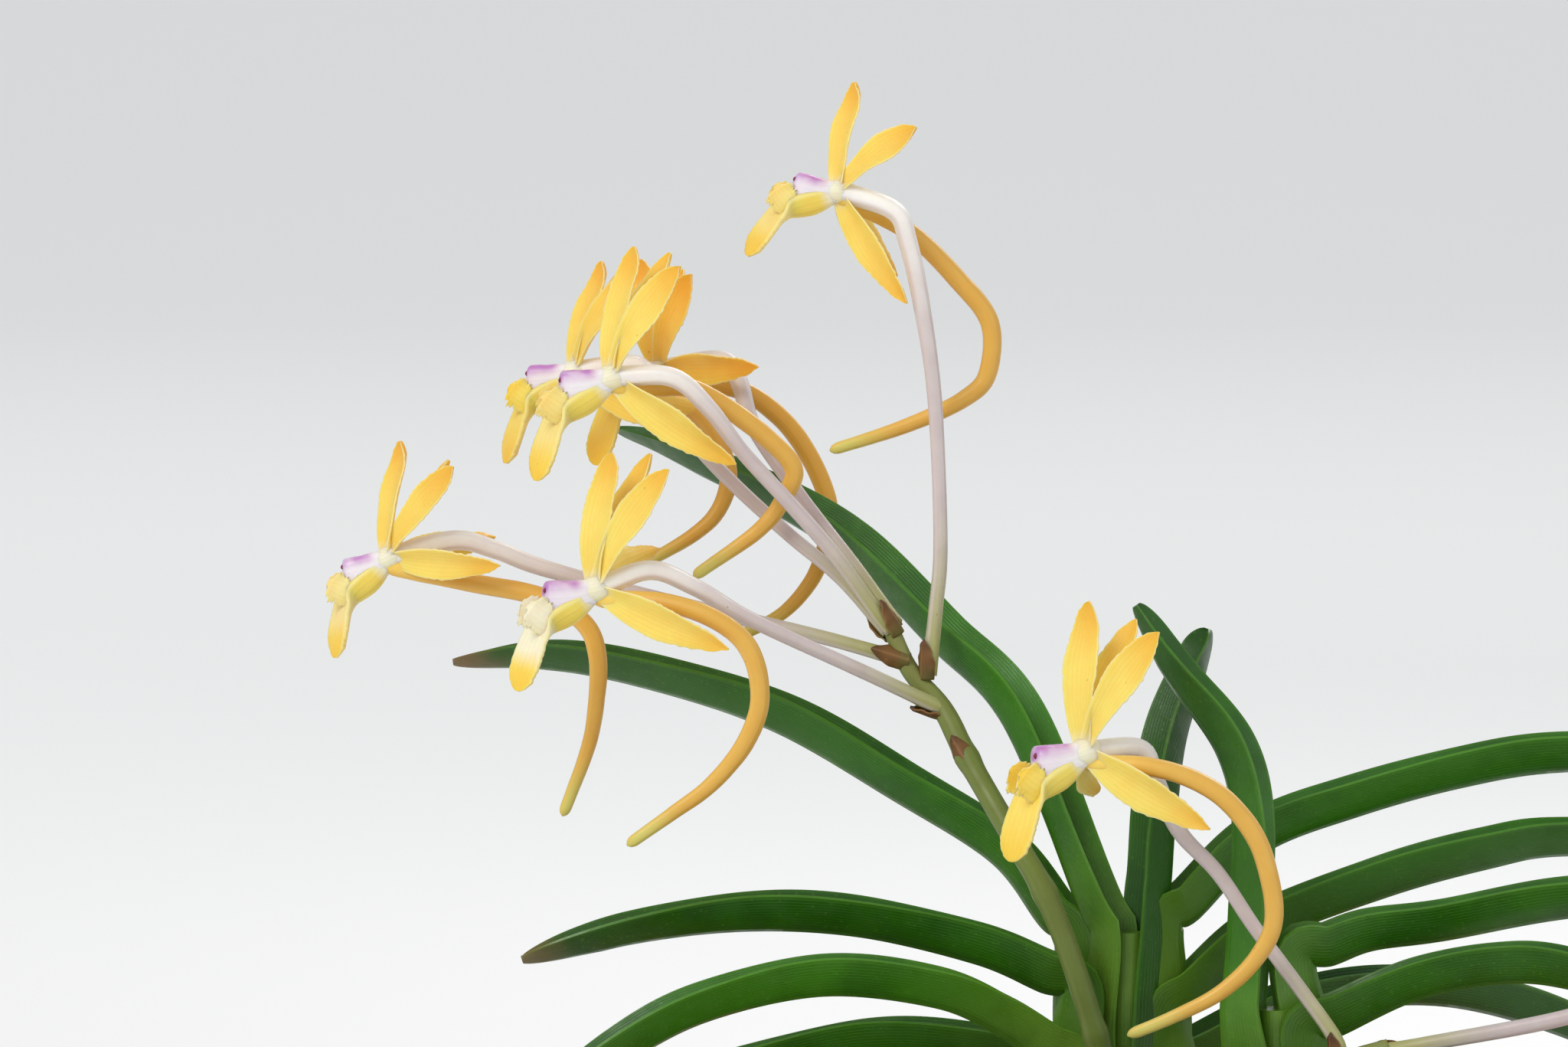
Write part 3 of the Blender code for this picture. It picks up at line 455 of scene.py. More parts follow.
class Effects:
    """The shader groups that more than one finish uses, each built once."""

    def __init__(self) -> None:
        """Builds every group."""
        self.tone_run = self.make_tone_run()
        self.vein_lines = self.make_vein_lines()
        self.flecks = self.make_flecks()
        self.cells = self.make_cells()

    @staticmethod
    def open(name: str, inputs: dict[str, object], outputs: dict[str, str]) -> tuple:
        """Starts a group.

        Args:
            name: the group's name.
            inputs: the start value of each input, which also tells its kind.
            outputs: the kind of each output: Float or Color.

        Returns:
            The group, its graph, its input sockets and the node that takes its outputs.
        """
        group = bpy.data.node_groups.new(name, "ShaderNodeTree")
        for key, value in inputs.items():
            kind = "Float" if isinstance(value, float) else "Vector" if value is None else "Color"
            made = group.interface.new_socket(name=key, in_out="INPUT", socket_type="NodeSocket" + kind)
            if value is not None:
                made.default_value = value
        for key, kind in outputs.items():
            group.interface.new_socket(name=key, in_out="OUTPUT", socket_type="NodeSocket" + kind)
        graph = Graph(group)
        return group, graph, graph.add("NodeGroupInput").outputs, graph.add("NodeGroupOutput")

    def make_tone_run(self) -> bpy.types.NodeTree:
        """Colour that runs from a foot through a body to a tip."""
        white = (1.0, 1.0, 1.0, 1.0)
        group, graph, given, out = self.open("orchid_tone_run", {
            "Along": 0.0, "Foot": white, "Body": white, "Tip": white,
            "Foot Start": 0.0, "Foot End": 0.2, "Tip Start": 0.8, "Tip End": 1.0,
        }, {"Color": "Color"})
        rise = graph.remap(given["Along"], given["Foot Start"], given["Foot End"])
        end = graph.remap(given["Along"], given["Tip Start"], given["Tip End"])
        lower = graph.mix(rise, given["Foot"], given["Body"])
        graph.feed(out.inputs["Color"], graph.mix(end, lower, given["Tip"]))
        return group

    def make_vein_lines(self) -> bpy.types.NodeTree:
        """Fine lines that run along a blade, broken up a little."""
        group, graph, given, out = self.open("orchid_vein_lines", {
            "Place": None, "Across": 0.0, "Along": 0.0, "Count": 5.0, "Wander": 0.05,
        }, {"Mask": "Float"})
        drift = graph.math("SUBTRACT", graph.noise(given["Place"], 700.0), 0.5)
        spot = graph.math("ADD", given["Across"], graph.math("MULTIPLY", drift, given["Wander"]))
        turn = graph.math("MULTIPLY", graph.math("MULTIPLY", spot, given["Count"]), math.pi)
        line = graph.math("SUBTRACT", 1.0, graph.math("ABSOLUTE", graph.math("SINE", turn)))
        graph.feed(out.inputs["Mask"], graph.math("POWER", line, 3.0))
        return group

    def make_flecks(self) -> bpy.types.NodeTree:
        """Scattered small round flecks."""
        group, graph, given, out = self.open("orchid_flecks", {
            "Place": None, "Scale": 900.0, "Size": 0.2, "Share": 0.5,
        }, {"Mask": "Float"})
        cells = graph.add("ShaderNodeTexVoronoi", {"Vector": given["Place"], "Scale": given["Scale"]})
        dot = graph.remap(cells.outputs["Distance"], given["Size"], 0.0)
        chance = graph.add("ShaderNodeSeparateColor", {0: cells.outputs["Color"]}).outputs[0]
        kept = graph.math("LESS_THAN", chance, given["Share"])
        graph.feed(out.inputs["Mask"], graph.math("MULTIPLY", dot, kept))
        return group

    def make_cells(self) -> bpy.types.NodeTree:
        """The tiny domed cells of living skin, with softer swells below them."""
        group, graph, given, out = self.open("orchid_cells", {
            "Place": None, "Scale": 6000.0, "Swell": 900.0,
        }, {"Height": "Float", "Cloud": "Float"})
        cells = graph.add("ShaderNodeTexVoronoi", {"Vector": given["Place"], "Scale": given["Scale"]})
        dome = graph.math("SUBTRACT", 1.0, cells.outputs["Distance"])
        swell = graph.noise(given["Place"], given["Swell"], 3.0)
        both = graph.math("ADD", graph.math("MULTIPLY", dome, 0.35), swell)
        graph.feed(out.inputs["Height"], both)
        graph.feed(out.inputs["Cloud"], swell)
        return group


class Material:
    """A material under construction, with its Principled shader."""

    def __init__(self, name: str, **numbers: float) -> None:
        """Starts the material. numbers are set on the shader's own sockets, with _ for a space."""
        self.made = bpy.data.materials.new(name)
        self.made.use_nodes = True
        self.graph = Graph(self.made.node_tree)
        self.shader = self.made.node_tree.nodes["Principled BSDF"]
        for key, value in numbers.items():
            self.shader.inputs[key.replace("_", " ")].default_value = value

    def set(self, **sockets: object) -> None:
        """Feeds the shader's inputs, with _ for a space in their names."""
        for key, value in sockets.items():
            self.graph.feed(self.shader.inputs[key.replace("_", " ")], value)

    def glow(self, weight: float, radius_mm: tuple[float, float, float]) -> None:
        """Lets light through the thin flesh."""
        self.shader.inputs["Subsurface Weight"].default_value = weight
        self.shader.inputs["Subsurface Radius"].default_value = radius_mm
        self.shader.inputs["Subsurface Scale"].default_value = MM


@dataclass(frozen=True)
class FleshFinish:
    """Waxy petal flesh: a foot, a body and a tip colour, faint veins, a pale fringe and rare dark dots.

    A crown, where given, is a soft flush along the top.
    """

    name: str
    foot: Colour
    body: Colour
    tip: Colour
    deep: Colour
    fringe: Colour
    runs: tuple[float, float, float, float]
    veins: float = 4.0
    vein_share: float = 0.22
    dots: float = 0.05
    roughness: float = 0.42
    glow: float = 0.35
    crown: Colour | None = None

    def make(self, effects: Effects) -> bpy.types.Material:
        """Builds the material with the shared effects."""
        stuff = Material(self.name, Specular_IOR_Level=0.38, Sheen_Weight=0.08, Sheen_Roughness=0.4)
        graph = stuff.graph
        along, across, place = graph.mark("along"), graph.mark("across"), graph.place()
        start, foot_end, tip_start, tip_end = self.runs
        colour = graph.use(effects.tone_run, {
            "Along": along, "Foot": self.foot, "Body": self.body, "Tip": self.tip,
            "Foot Start": start, "Foot End": foot_end, "Tip Start": tip_start, "Tip End": tip_end,
        })["Color"]
        # Darker towards deep by the tone mark: random variation, and on the blooms further back also painted
        # shade.
        colour = graph.mix(graph.math("MULTIPLY", graph.mark("tone"), 0.8), colour, self.deep, "MULTIPLY")
        colour = graph.mix(graph.mark("age"), colour, self.foot)
        cells = graph.use(effects.cells, {"Place": place, "Scale": 5200.0, "Swell": 420.0})
        cloud = graph.remap(cells["Cloud"], 0.35, 0.7, 0.0, 0.22)
        colour = graph.mix(cloud, colour, self.deep, "MULTIPLY")
        veins = graph.use(effects.vein_lines, {
            "Place": place, "Across": across, "Along": along, "Count": self.veins,
        })["Mask"]
        colour = graph.mix(graph.math("MULTIPLY", veins, self.vein_share), colour, self.deep, "MULTIPLY")
        if self.crown:
            flush = graph.math("MULTIPLY", graph.remap(across, 0.1, 0.85), graph.remap(along, 0.1, 0.4))
            patchy = graph.remap(graph.noise(place, 520.0, 2.0), 0.3, 0.6, 0.5, 1.0)
            colour = graph.mix(graph.math("MULTIPLY", flush, patchy), colour, self.crown)
        else:
            rim = graph.remap(graph.math("ABSOLUTE", across), 0.88, 1.0, 0.0, 0.5)
            colour = graph.mix(rim, colour, self.fringe)
        dots = graph.use(effects.flecks, {
            "Place": place, "Scale": 1300.0, "Size": 0.16, "Share": self.dots,
        })["Mask"]
        colour = graph.mix(graph.math("MULTIPLY", dots, 0.7), colour, tint(150, 96, 30))
        rough = graph.remap(cells["Cloud"], 0.3, 0.75, self.roughness - 0.07, self.roughness + 0.1)
        normal = graph.bump(veins, 0.05, 0.35)
        stuff.set(Base_Color=colour, Roughness=rough, Normal=graph.bump(cells["Height"], 0.04, 0.5, normal))
        stuff.glow(self.glow, (1.3, 0.7, 0.15))
        return stuff.made


@dataclass(frozen=True)
class LeafFinish:
    """Waxy leaf skin: fine veins, pale flecks, a painted highlight down the keel, paler edges, and a dry tip
    where it is aged.
    """

    name: str
    foot: Colour
    body: Colour
    tip: Colour
    deep: Colour
    pale: Colour
    runs: tuple[float, float, float, float]
    roughness: float = 0.36
    fleck_share: float = 0.3

    def make(self, effects: Effects) -> bpy.types.Material:
        """Builds the material with the shared effects."""
        stuff = Material(
            self.name, Specular_IOR_Level=0.38, Coat_Roughness=0.26, Coat_IOR=1.4, Coat_Weight=0.08,
        )
        graph = stuff.graph
        along, across, place = graph.mark("along"), graph.mark("across"), graph.place()
        start, foot_end, tip_start, tip_end = self.runs
        colour = graph.use(effects.tone_run, {
            "Along": along, "Foot": self.foot, "Body": self.body, "Tip": self.tip,
            "Foot Start": start, "Foot End": foot_end, "Tip Start": tip_start, "Tip End": tip_end,
        })["Color"]
        colour = graph.mix(graph.math("MULTIPLY", graph.mark("tone"), 0.8), colour, self.deep, "MULTIPLY")
        patches = graph.remap(graph.noise(place, 130.0, 4.0), 0.4, 0.68, 0.0, 0.7)
        colour = graph.mix(patches, colour, self.deep, "MULTIPLY")
        veins = graph.use(effects.vein_lines, {
            "Place": place, "Across": across, "Along": along, "Count": 13.0, "Wander": 0.03,
        })["Mask"]
        colour = graph.mix(graph.math("MULTIPLY", veins, 0.13), colour, self.pale)
        flecks = graph.use(effects.flecks, {
            "Place": place, "Scale": 2100.0, "Size": 0.42, "Share": self.fleck_share,
        })["Mask"]
        colour = graph.mix(graph.math("MULTIPLY", flecks, 0.22), colour, self.pale)
        # A painted highlight down the keel, and the edges painted paler.
        off = graph.math("ABSOLUTE", across)
        keel = graph.remap(off, 0.16, 0.0, 0.0, 0.22)
        margin = graph.remap(off, 0.9, 1.0, 0.0, 0.22)
        colour = graph.mix(graph.math("MAXIMUM", keel, margin), colour, self.pale)
        ragged = graph.math("ADD", along, graph.math("MULTIPLY", graph.noise(place, 400.0, 3.0), 0.05))
        dry = graph.math("MULTIPLY", graph.remap(ragged, 0.955, 1.01), graph.mark("age"))
        colour = graph.mix(dry, colour, tint(128, 96, 58))
        cells = graph.use(effects.cells, {"Place": place, "Scale": 3600.0, "Swell": 600.0})
        rough = graph.remap(cells["Cloud"], 0.3, 0.75, self.roughness - 0.08, self.roughness + 0.14)
        normal = graph.bump(veins, 0.06, 0.3)
        normal = graph.bump(flecks, 0.03, 0.35, normal)
        stuff.set(Base_Color=colour, Roughness=rough, Normal=graph.bump(cells["Height"], 0.05, 0.4, normal))
        stuff.glow(0.06, (0.5, 0.9, 0.2))
        return stuff.made


@dataclass(frozen=True)
class RootFinish:
    """Silvery spongy root skin that turns green and glossy at the growing tip."""

    name: str = "root_velamen"

    def make(self, effects: Effects) -> bpy.types.Material:
        """Builds the material with the shared effects."""
        stuff = Material(self.name, Specular_IOR_Level=0.3)
        graph = stuff.graph
        along, place = graph.mark("along"), graph.place()
        colour = graph.use(effects.tone_run, {
            "Along": along,
            "Foot": tint(176, 172, 150), "Body": tint(203, 202, 188), "Tip": tint(112, 138, 62),
            "Foot Start": 0.0, "Foot End": 0.3, "Tip Start": 0.93, "Tip End": 0.98,
        })["Color"]
        stain = graph.remap(graph.noise(place, 260.0, 5.0), 0.48, 0.72, 0.0, 0.7)
        colour = graph.mix(stain, colour, tint(128, 122, 84))
        flecks = graph.use(effects.flecks, {
            "Place": place, "Scale": 1500.0, "Size": 0.4, "Share": 0.35,
        })["Mask"]
        colour = graph.mix(graph.math("MULTIPLY", flecks, 0.4), colour, tint(232, 231, 222))
        cells = graph.use(effects.cells, {"Place": place, "Scale": 4200.0, "Swell": 1100.0})
        rough = graph.remap(along, 0.92, 0.97, 0.78, 0.35)
        stuff.set(Base_Color=colour, Roughness=rough, Normal=graph.bump(cells["Height"], 0.12, 0.7))
        return stuff.made


@dataclass(frozen=True)
class MossFinish:
    """Soft moss, from straw to olive green, paler at the ends of its sprigs."""

    name: str
    straw: Colour
    green: Colour
    dark: Colour

    def make(self, effects: Effects) -> bpy.types.Material:
        """Builds the material with the shared effects."""
        stuff = Material(self.name, Specular_IOR_Level=0.2, Sheen_Weight=0.15, Sheen_Roughness=0.6)
        graph = stuff.graph
        along, place = graph.mark("along"), graph.place()
        patch = graph.remap(graph.noise(place, 55.0, 3.0), 0.4, 0.62)
        colour = graph.mix(patch, self.straw, self.green)
        colour = graph.mix(graph.math("MULTIPLY", graph.mark("tone"), 0.5), colour, self.dark)
        colour = graph.mix(graph.remap(along, 0.0, 0.6, 0.75, 0.0), colour, self.dark)
        cells = graph.use(effects.cells, {"Place": place, "Scale": 5000.0, "Swell": 1500.0})
        colour = graph.mix(graph.remap(cells["Cloud"], 0.4, 0.7, 0.0, 0.3), colour, self.straw)
        stuff.set(Base_Color=colour, Roughness=0.92, Normal=graph.bump(cells["Height"], 0.15, 0.6))
        return stuff.made


@dataclass(frozen=True)
class ClayFinish:
    """Unglazed fired clay: turning lines, pores, a chalky bloom and colour that grows darker towards the
    bottom.
    """

    name: str = "clay_unglazed"

    def make(self, effects: Effects) -> bpy.types.Material:
        """Builds the material with the shared effects."""
        stuff = Material(self.name, Specular_IOR_Level=0.25)
        graph = stuff.graph
        place = graph.place()
        height = graph.add("ShaderNodeSeparateXYZ", {0: place}).outputs[2]
        clay = graph.mix(graph.noise(place, 34.0, 6.0, 0.6), tint(176, 98, 62), tint(201, 128, 88))
        level = graph.add("ShaderNodeCombineXYZ", {2: height}).outputs[0]
        lines = graph.noise(level, 900.0)
        clay = graph.mix(graph.remap(lines, 0.4, 0.65, 0.0, 0.25), clay, tint(150, 80, 50))
        # Darker towards the bottom of the pot, with a ragged upper edge.
        ragged = graph.math("MULTIPLY", graph.noise(place, 60.0, 4.0), 0.02)
        lower_darkening = graph.remap(graph.math("ADD", height, ragged), 0.048, 0.012)
        clay = graph.mix(graph.math("MULTIPLY", lower_darkening, 0.45), clay, tint(128, 70, 46))
        chalk = graph.remap(graph.noise(place, 75.0, 8.0, 0.65), 0.52, 0.76, 0.0, 0.5)
        clay = graph.mix(chalk, clay, tint(222, 196, 172))
        pores = graph.use(effects.flecks, {
            "Place": place, "Scale": 1100.0, "Size": 0.3, "Share": 0.4,
        })["Mask"]
        clay = graph.mix(graph.math("MULTIPLY", pores, 0.35), clay, tint(96, 52, 34))
        grit = graph.noise(place, 2600.0, 4.0, 0.7)
        normal = graph.bump(lines, 0.35, 0.5)
        normal = graph.bump(grit, 0.12, 0.6, normal)
        rough = graph.remap(grit, 0.3, 0.7, 0.78, 0.95)
        stuff.set(Base_Color=clay, Roughness=rough, Normal=graph.bump(pores, -0.12, 0.6, normal))
        return stuff.made


@dataclass
class Palette:
    """Every finish of the plant and its pot, made once."""

    effects: Effects = field(default_factory=Effects)
    made: dict[str, bpy.types.Material] = field(default_factory=dict)

    def __post_init__(self) -> None:
        """Makes the materials from their finishes."""
        for finish in (
            FleshFinish(
                "petal_gold", foot=tint(250, 243, 218), body=tint(254, 224, 112), tip=tint(245, 188, 58),
                deep=tint(246, 216, 158), fringe=tint(255, 242, 190), runs=(0.0, 0.17, 0.45, 1.1),
                vein_share=0.14,
            ),
            FleshFinish(
                "lip_gold", foot=tint(248, 244, 226), body=tint(253, 224, 106), tip=tint(250, 208, 74),
                deep=tint(244, 212, 150), fringe=tint(254, 238, 170), runs=(0.0, 0.14, 0.6, 1.0),
                veins=3.0, vein_share=0.12,
            ),
            FleshFinish(
                "spur_amber", foot=tint(250, 214, 104), body=tint(226, 179, 82), tip=tint(212, 204, 110),
                deep=tint(244, 222, 172), fringe=tint(236, 190, 92), runs=(0.0, 0.2, 0.82, 0.97),
                veins=1.0, vein_share=0.1, dots=0.04, roughness=0.36, glow=0.2,
            ),
            FleshFinish(
                "column_lilac", foot=tint(248, 245, 242), body=tint(246, 240, 244), tip=tint(238, 226, 240),
                deep=tint(234, 218, 236), fringe=tint(250, 246, 246), runs=(0.1, 0.6, 0.8, 1.0),
                veins=2.0, vein_share=0.08, dots=0.0, roughness=0.34, glow=0.22, crown=tint(190, 122, 194),
            ),
            FleshFinish(
                "anther_plum", foot=tint(196, 120, 160), body=tint(160, 56, 104), tip=tint(128, 40, 60),
                deep=tint(180, 110, 120), fringe=tint(130, 62, 76), runs=(0.0, 0.3, 0.6, 1.0),
                veins=1.0, vein_share=0.1, dots=0.0, roughness=0.3, glow=0.1,
            ),
            FleshFinish(
                "stalk_lilac", foot=tint(170, 172, 104), body=tint(208, 196, 194), tip=tint(247, 244, 238),
                deep=tint(224, 210, 218), fringe=tint(220, 208, 210), runs=(0.0, 0.36, 0.55, 0.95),
                veins=1.0, vein_share=0.12, dots=0.08, roughness=0.4, glow=0.2,
            ),
            FleshFinish(
                "peduncle_green", foot=tint(96, 128, 44), body=tint(116, 136, 60), tip=tint(140, 148, 82),
                deep=tint(206, 176, 150), fringe=tint(124, 142, 72), runs=(0.0, 0.4, 0.7, 1.0),
                veins=1.0, vein_share=0.15, dots=0.12, roughness=0.42, glow=0.1,
            ),
            LeafFinish(
                "leaf_green", foot=tint(130, 164, 58), body=tint(58, 122, 16), tip=tint(38, 92, 9),
                deep=tint(156, 188, 128), pale=tint(98, 152, 46), runs=(0.02, 0.42, 0.45, 1.0),
            ),
            LeafFinish(
                "bract_brown", foot=tint(112, 112, 52), body=tint(128, 92, 46), tip=tint(98, 66, 36),
                deep=tint(170, 130, 96), pale=tint(188, 140, 86), runs=(0.0, 0.5, 0.6, 1.0),
                roughness=0.6, fleck_share=0.1,
            ),
            RootFinish(),
            MossFinish("moss_sprigs", tint(202, 188, 128), tint(146, 162, 72), tint(98, 92, 44)),
            MossFinish("moss_bed", tint(126, 110, 66), tint(92, 92, 44), tint(54, 47, 27)),
            ClayFinish(),
        ):
            self.made[finish.name] = finish.make(self.effects)

    def of(self, *names: str) -> list[bpy.types.Material]:
        """The materials of these names."""
        return [self.made[name] for name in names]


LEAF_ROUTES: dict[str, Knots] = {
    "leaf_left_top": ((-2.9, 0.2, 104.0), (-9.3, 3.4, 119.6), (-15.9, 8.0, 126.4), (-23.2, 12.6, 133.4),
                      (-30.6, 16.2, 137.8), (-39.0, 20.2, 141.4), (-43.5, 22.6, 142.6)),
    "leaf_left_long": ((-6.4, 2.4, 103.0), (-10.6, 3.6, 108.3), (-19.2, 6.0, 113.6), (-29.1, 8.5, 119.1),
                       (-39.0, 10.5, 122.3), (-48.9, 12.0, 124.0), (-57.5, 13.0, 123.2)),
    "leaf_left_glossy": ((-7.0, -1.0, 98.0), (-12.6, -1.0, 100.4), (-22.5, -1.5, 102.8), (-32.4, -2.0, 103.3),
                         (-42.3, -2.4, 102.0), (-51.2, -2.6, 99.2)),
    "leaf_left_low": ((-7.2, -2.8, 92.2), (-10.5, -4.0, 94.6), (-16.0, -5.6, 97.2), (-25.8, -7.0, 98.4),
                      (-35.7, -7.5, 96.3), (-43.0, -8.0, 92.5), (-51.0, -8.5, 86.5), (-56.0, -9.0, 81.0)),
    "leaf_left_lowest": ((-5.6, 2.6, 89.4), (-12.6, 4.2, 91.2), (-22.5, 6.0, 91.4), (-34.0, 8.2, 88.6),
                         (-46.0, 10.5, 84.0), (-54.0, 12.0, 80.0)),
    "leaf_upright": ((2.5, 0.4, 106.6), (2.9, 0.8, 112.0), (4.0, 1.6, 119.0), (7.2, 2.6, 127.0)),
    "leaf_right_top": ((5.4, 1.7, 103.8), (11.3, 4.2, 109.2), (19.7, 6.2, 112.3), (28.6, 7.8, 114.6),
                       (37.0, 9.0, 115.8), (48.0, 10.5, 115.4), (60.0, 12.0, 112.4), (69.0, 13.0, 108.4)),
    "leaf_right_long": ((5.8, 1.2, 96.4), (11.7, 3.0, 101.6), (21.9, 4.6, 105.5), (30.9, 5.5, 107.9),
                        (37.0, 6.0, 108.9), (48.0, 6.6, 108.5), (60.0, 7.0, 105.3), (68.0, 7.2, 101.0)),
    "leaf_right_back": ((5.5, 3.8, 90.4), (15.0, 8.8, 94.4), (28.0, 15.0, 95.0), (42.0, 21.0, 90.2),
                        (53.0, 26.0, 83.0)),
    "leaf_side_upright": ((9.4, -7.7, 98.4), (9.8, -7.4, 104.0), (10.1, -7.0, 111.9), (8.6, -6.5, 117.9),
                          (4.4, -6.0, 123.8), (0.3, -5.5, 129.6)),
    "leaf_side_long": ((17.0, -5.6, 100.8), (20.4, -5.2, 102.0), (26.4, -4.6, 102.8), (37.0, -3.6, 104.6),
                       (50.0, -2.6, 105.4), (61.5, -1.6, 103.0)),
    "leaf_side_spotted": ((17.6, -8.0, 95.2), (24.2, -8.3, 98.3), (30.9, -8.6, 99.6), (37.0, -9.0, 99.2),
                          (48.0, -9.6, 96.0), (57.5, -10.0, 91.0)),
    "leaf_front_left": ((7.2, -9.6, 89.6), (0.0, -14.0, 91.0), (-9.0, -20.0, 90.0), (-20.0, -27.0, 86.6),
                        (-30.0, -33.5, 83.0)),
    "leaf_front_right": ((18.4, -10.6, 88.6), (25.5, -16.4, 89.0), (33.0, -24.5, 88.6), (40.0, -33.0, 86.0),
                         (46.0, -39.5, 82.0)),
}
SIDE_FAN_LEAVES = (
    "leaf_side_upright", "leaf_side_long", "leaf_side_spotted", "leaf_front_left", "leaf_front_right",
)
DRY_TIPS = {"leaf_left_long": 0.8, "leaf_left_glossy": 0.6, "leaf_right_back": 0.5}
MAIN_FAN_LEAVES = tuple(name for name in LEAF_ROUTES if name not in SIDE_FAN_LEAVES)


def leaf_facing(knots: Knots) -> Facing:
    """The way a leaf's upper face looks: up where it lies level, inward where it stands.

    Args:
        knots: the leaf's route.

    Returns:
        A function from its direction of travel to that way.
    """
    outward = Vector(knots[-1]) - Vector(knots[0])
    side = Vector((0.0, 0.0, 1.0)).cross(Vector((outward.x, outward.y, 0.0)).normalized())
    return lambda ahead: ahead.cross(side)


@dataclass
class Leaf:
    """One folded, arching leaf: a blade, and below it the sheath that wraps the fan's stem."""

    node: str
    tone: float
    age: float
    fan_foot: tuple[float, float]
    spread: float
    full_width: float = 6.4
    sheath_foot: float = 80.5

    def __post_init__(self) -> None:
        """Lays the one path that sheath and blade follow, and their shared cut."""
        knots = LEAF_ROUTES[self.node]
        top = Vector(knots[0])
        ahead = (Vector(knots[1]) - top).normalized()
        out = Vector((top.x - self.fan_foot[0], top.y - self.fan_foot[1], 0.0)).normalized()
        low = Vector((*self.fan_foot, self.sheath_foot)) + out * self.spread
        middle = (low + top) / 2 + out * 0.5
        self.route = Route((tuple(low), tuple(middle), tuple(top - ahead * 3.0), *knots))
        self.join = self.route.share_at(3)
        self.facing = leaf_facing(knots)
        wide = self.full_width
        self.outline = self.spliced(
            ((0.0, 10.4), (0.35, 9.0), (0.8, 6.6), (1.0, wide * 0.9)),
            ((0.2, wide * 0.97), (0.5, wide), (0.8, wide * 0.88), (1.0, wide * 0.62)),
        )
        self.folds = self.spliced(
            ((0.0, 63.0), (0.6, 62.0), (1.0, 57.0)), ((0.3, 50.0), (0.7, 42.0), (1.0, 24.0)),
        )

    def spliced(self, sheath: Pairs, blade: Pairs) -> Pairs:
        """Joins numbers for the sheath and for the blade into one run along the whole path."""
        upper = tuple((self.join + share * (1 - self.join), value) for share, value in blade)
        return tuple((share * self.join, value) for share, value in sheath) + upper

    def lay(self, skin: Skin, span: tuple[float, float], rows: int) -> None:
        """Adds the part of the leaf within a span of its path to a skin."""
        cut = Cut(
            outline=self.outline, folds=self.folds, rib=0.8, edge=0.24,
            tip_from=self.join + 0.9 * (1 - self.join), gutter=0.16, keel=0.22, ripple=0.14, waves=3.4,
            rows=rows, columns=19,
        )
        phase = 1.7 * len(self.node) + self.tone * 5
        cut.lay(skin, self.route, self.facing, self.tone, age=self.age, phase=phase, span=span)

    def build(self, palette: Palette) -> bpy.types.Object:
        """Makes the blade."""
        skin = Skin(self.node + "_blade")
        self.lay(skin, (self.join, 1.0), 100)
        return skin.build(palette.of("leaf_green"), Slot.LEAF, self.node, crisp=55.0)


@dataclass
class Fan:
    """A short stem with folded leaves, whose sheaths wrap it."""

    node: str
    foot: tuple[float, float]
    leaf_names: tuple[str, ...]
    stem_foot: float = 73.0
    stem_radius: float = 3.0

    def __post_init__(self) -> None:
        """Plans the leaves: the higher one leaves the stem, the closer its sheath lies to it."""
        tops = {name: LEAF_ROUTES[name][0][2] for name in self.leaf_names}
        self.highest = max(tops.values())
        lowest = min(tops.values())
        self.leaves = [
            Leaf(
                name, tone=(index * 0.37) % 1.0, age=DRY_TIPS.get(name, 0.0), fan_foot=self.foot,
                spread=0.6 + 2.0 * (self.highest - tops[name]) / (self.highest - lowest),
            )
            for index, name in enumerate(self.leaf_names)
        ]

    def build(self, palette: Palette) -> None:
        """Makes the stem with its sheaths as one piece, and each blade as its own."""
        skin = Skin(self.node + "_sheaths")
        stem = Route(((*self.foot, self.stem_foot), (*self.foot, self.highest - 5.0)))
        skin.tube(stem, lambda share: self.stem_radius * (1 - 0.4 * share), 24, 12, 0.3, span=(0.0, 0.2))
        for leaf in self.leaves:
            leaf.lay(skin, (0.0, leaf.join), 40)
            leaf.build(palette)
        skin.build(palette.of("leaf_green"), Slot.SHEATH, self.node, crisp=55.0)


@dataclass(frozen=True)
class BloomSpec:
    """Where one bloom stands, and where its tepals end as seen from its heart. Angles are in degrees."""

    heart: tuple[float, float, float]
    facing: float
    tip_up: float
    size: float
    # tone: darkens the flesh towards orange; it varies a little from bloom to bloom, and is raised for the
    # blooms further back (behind, back) as painted shade
    tone: float
    white: float
    dorsal: tuple[float, float, float]
    petals: Knots
    sepals: Knots
    stalk: Knots
    spur: Knots


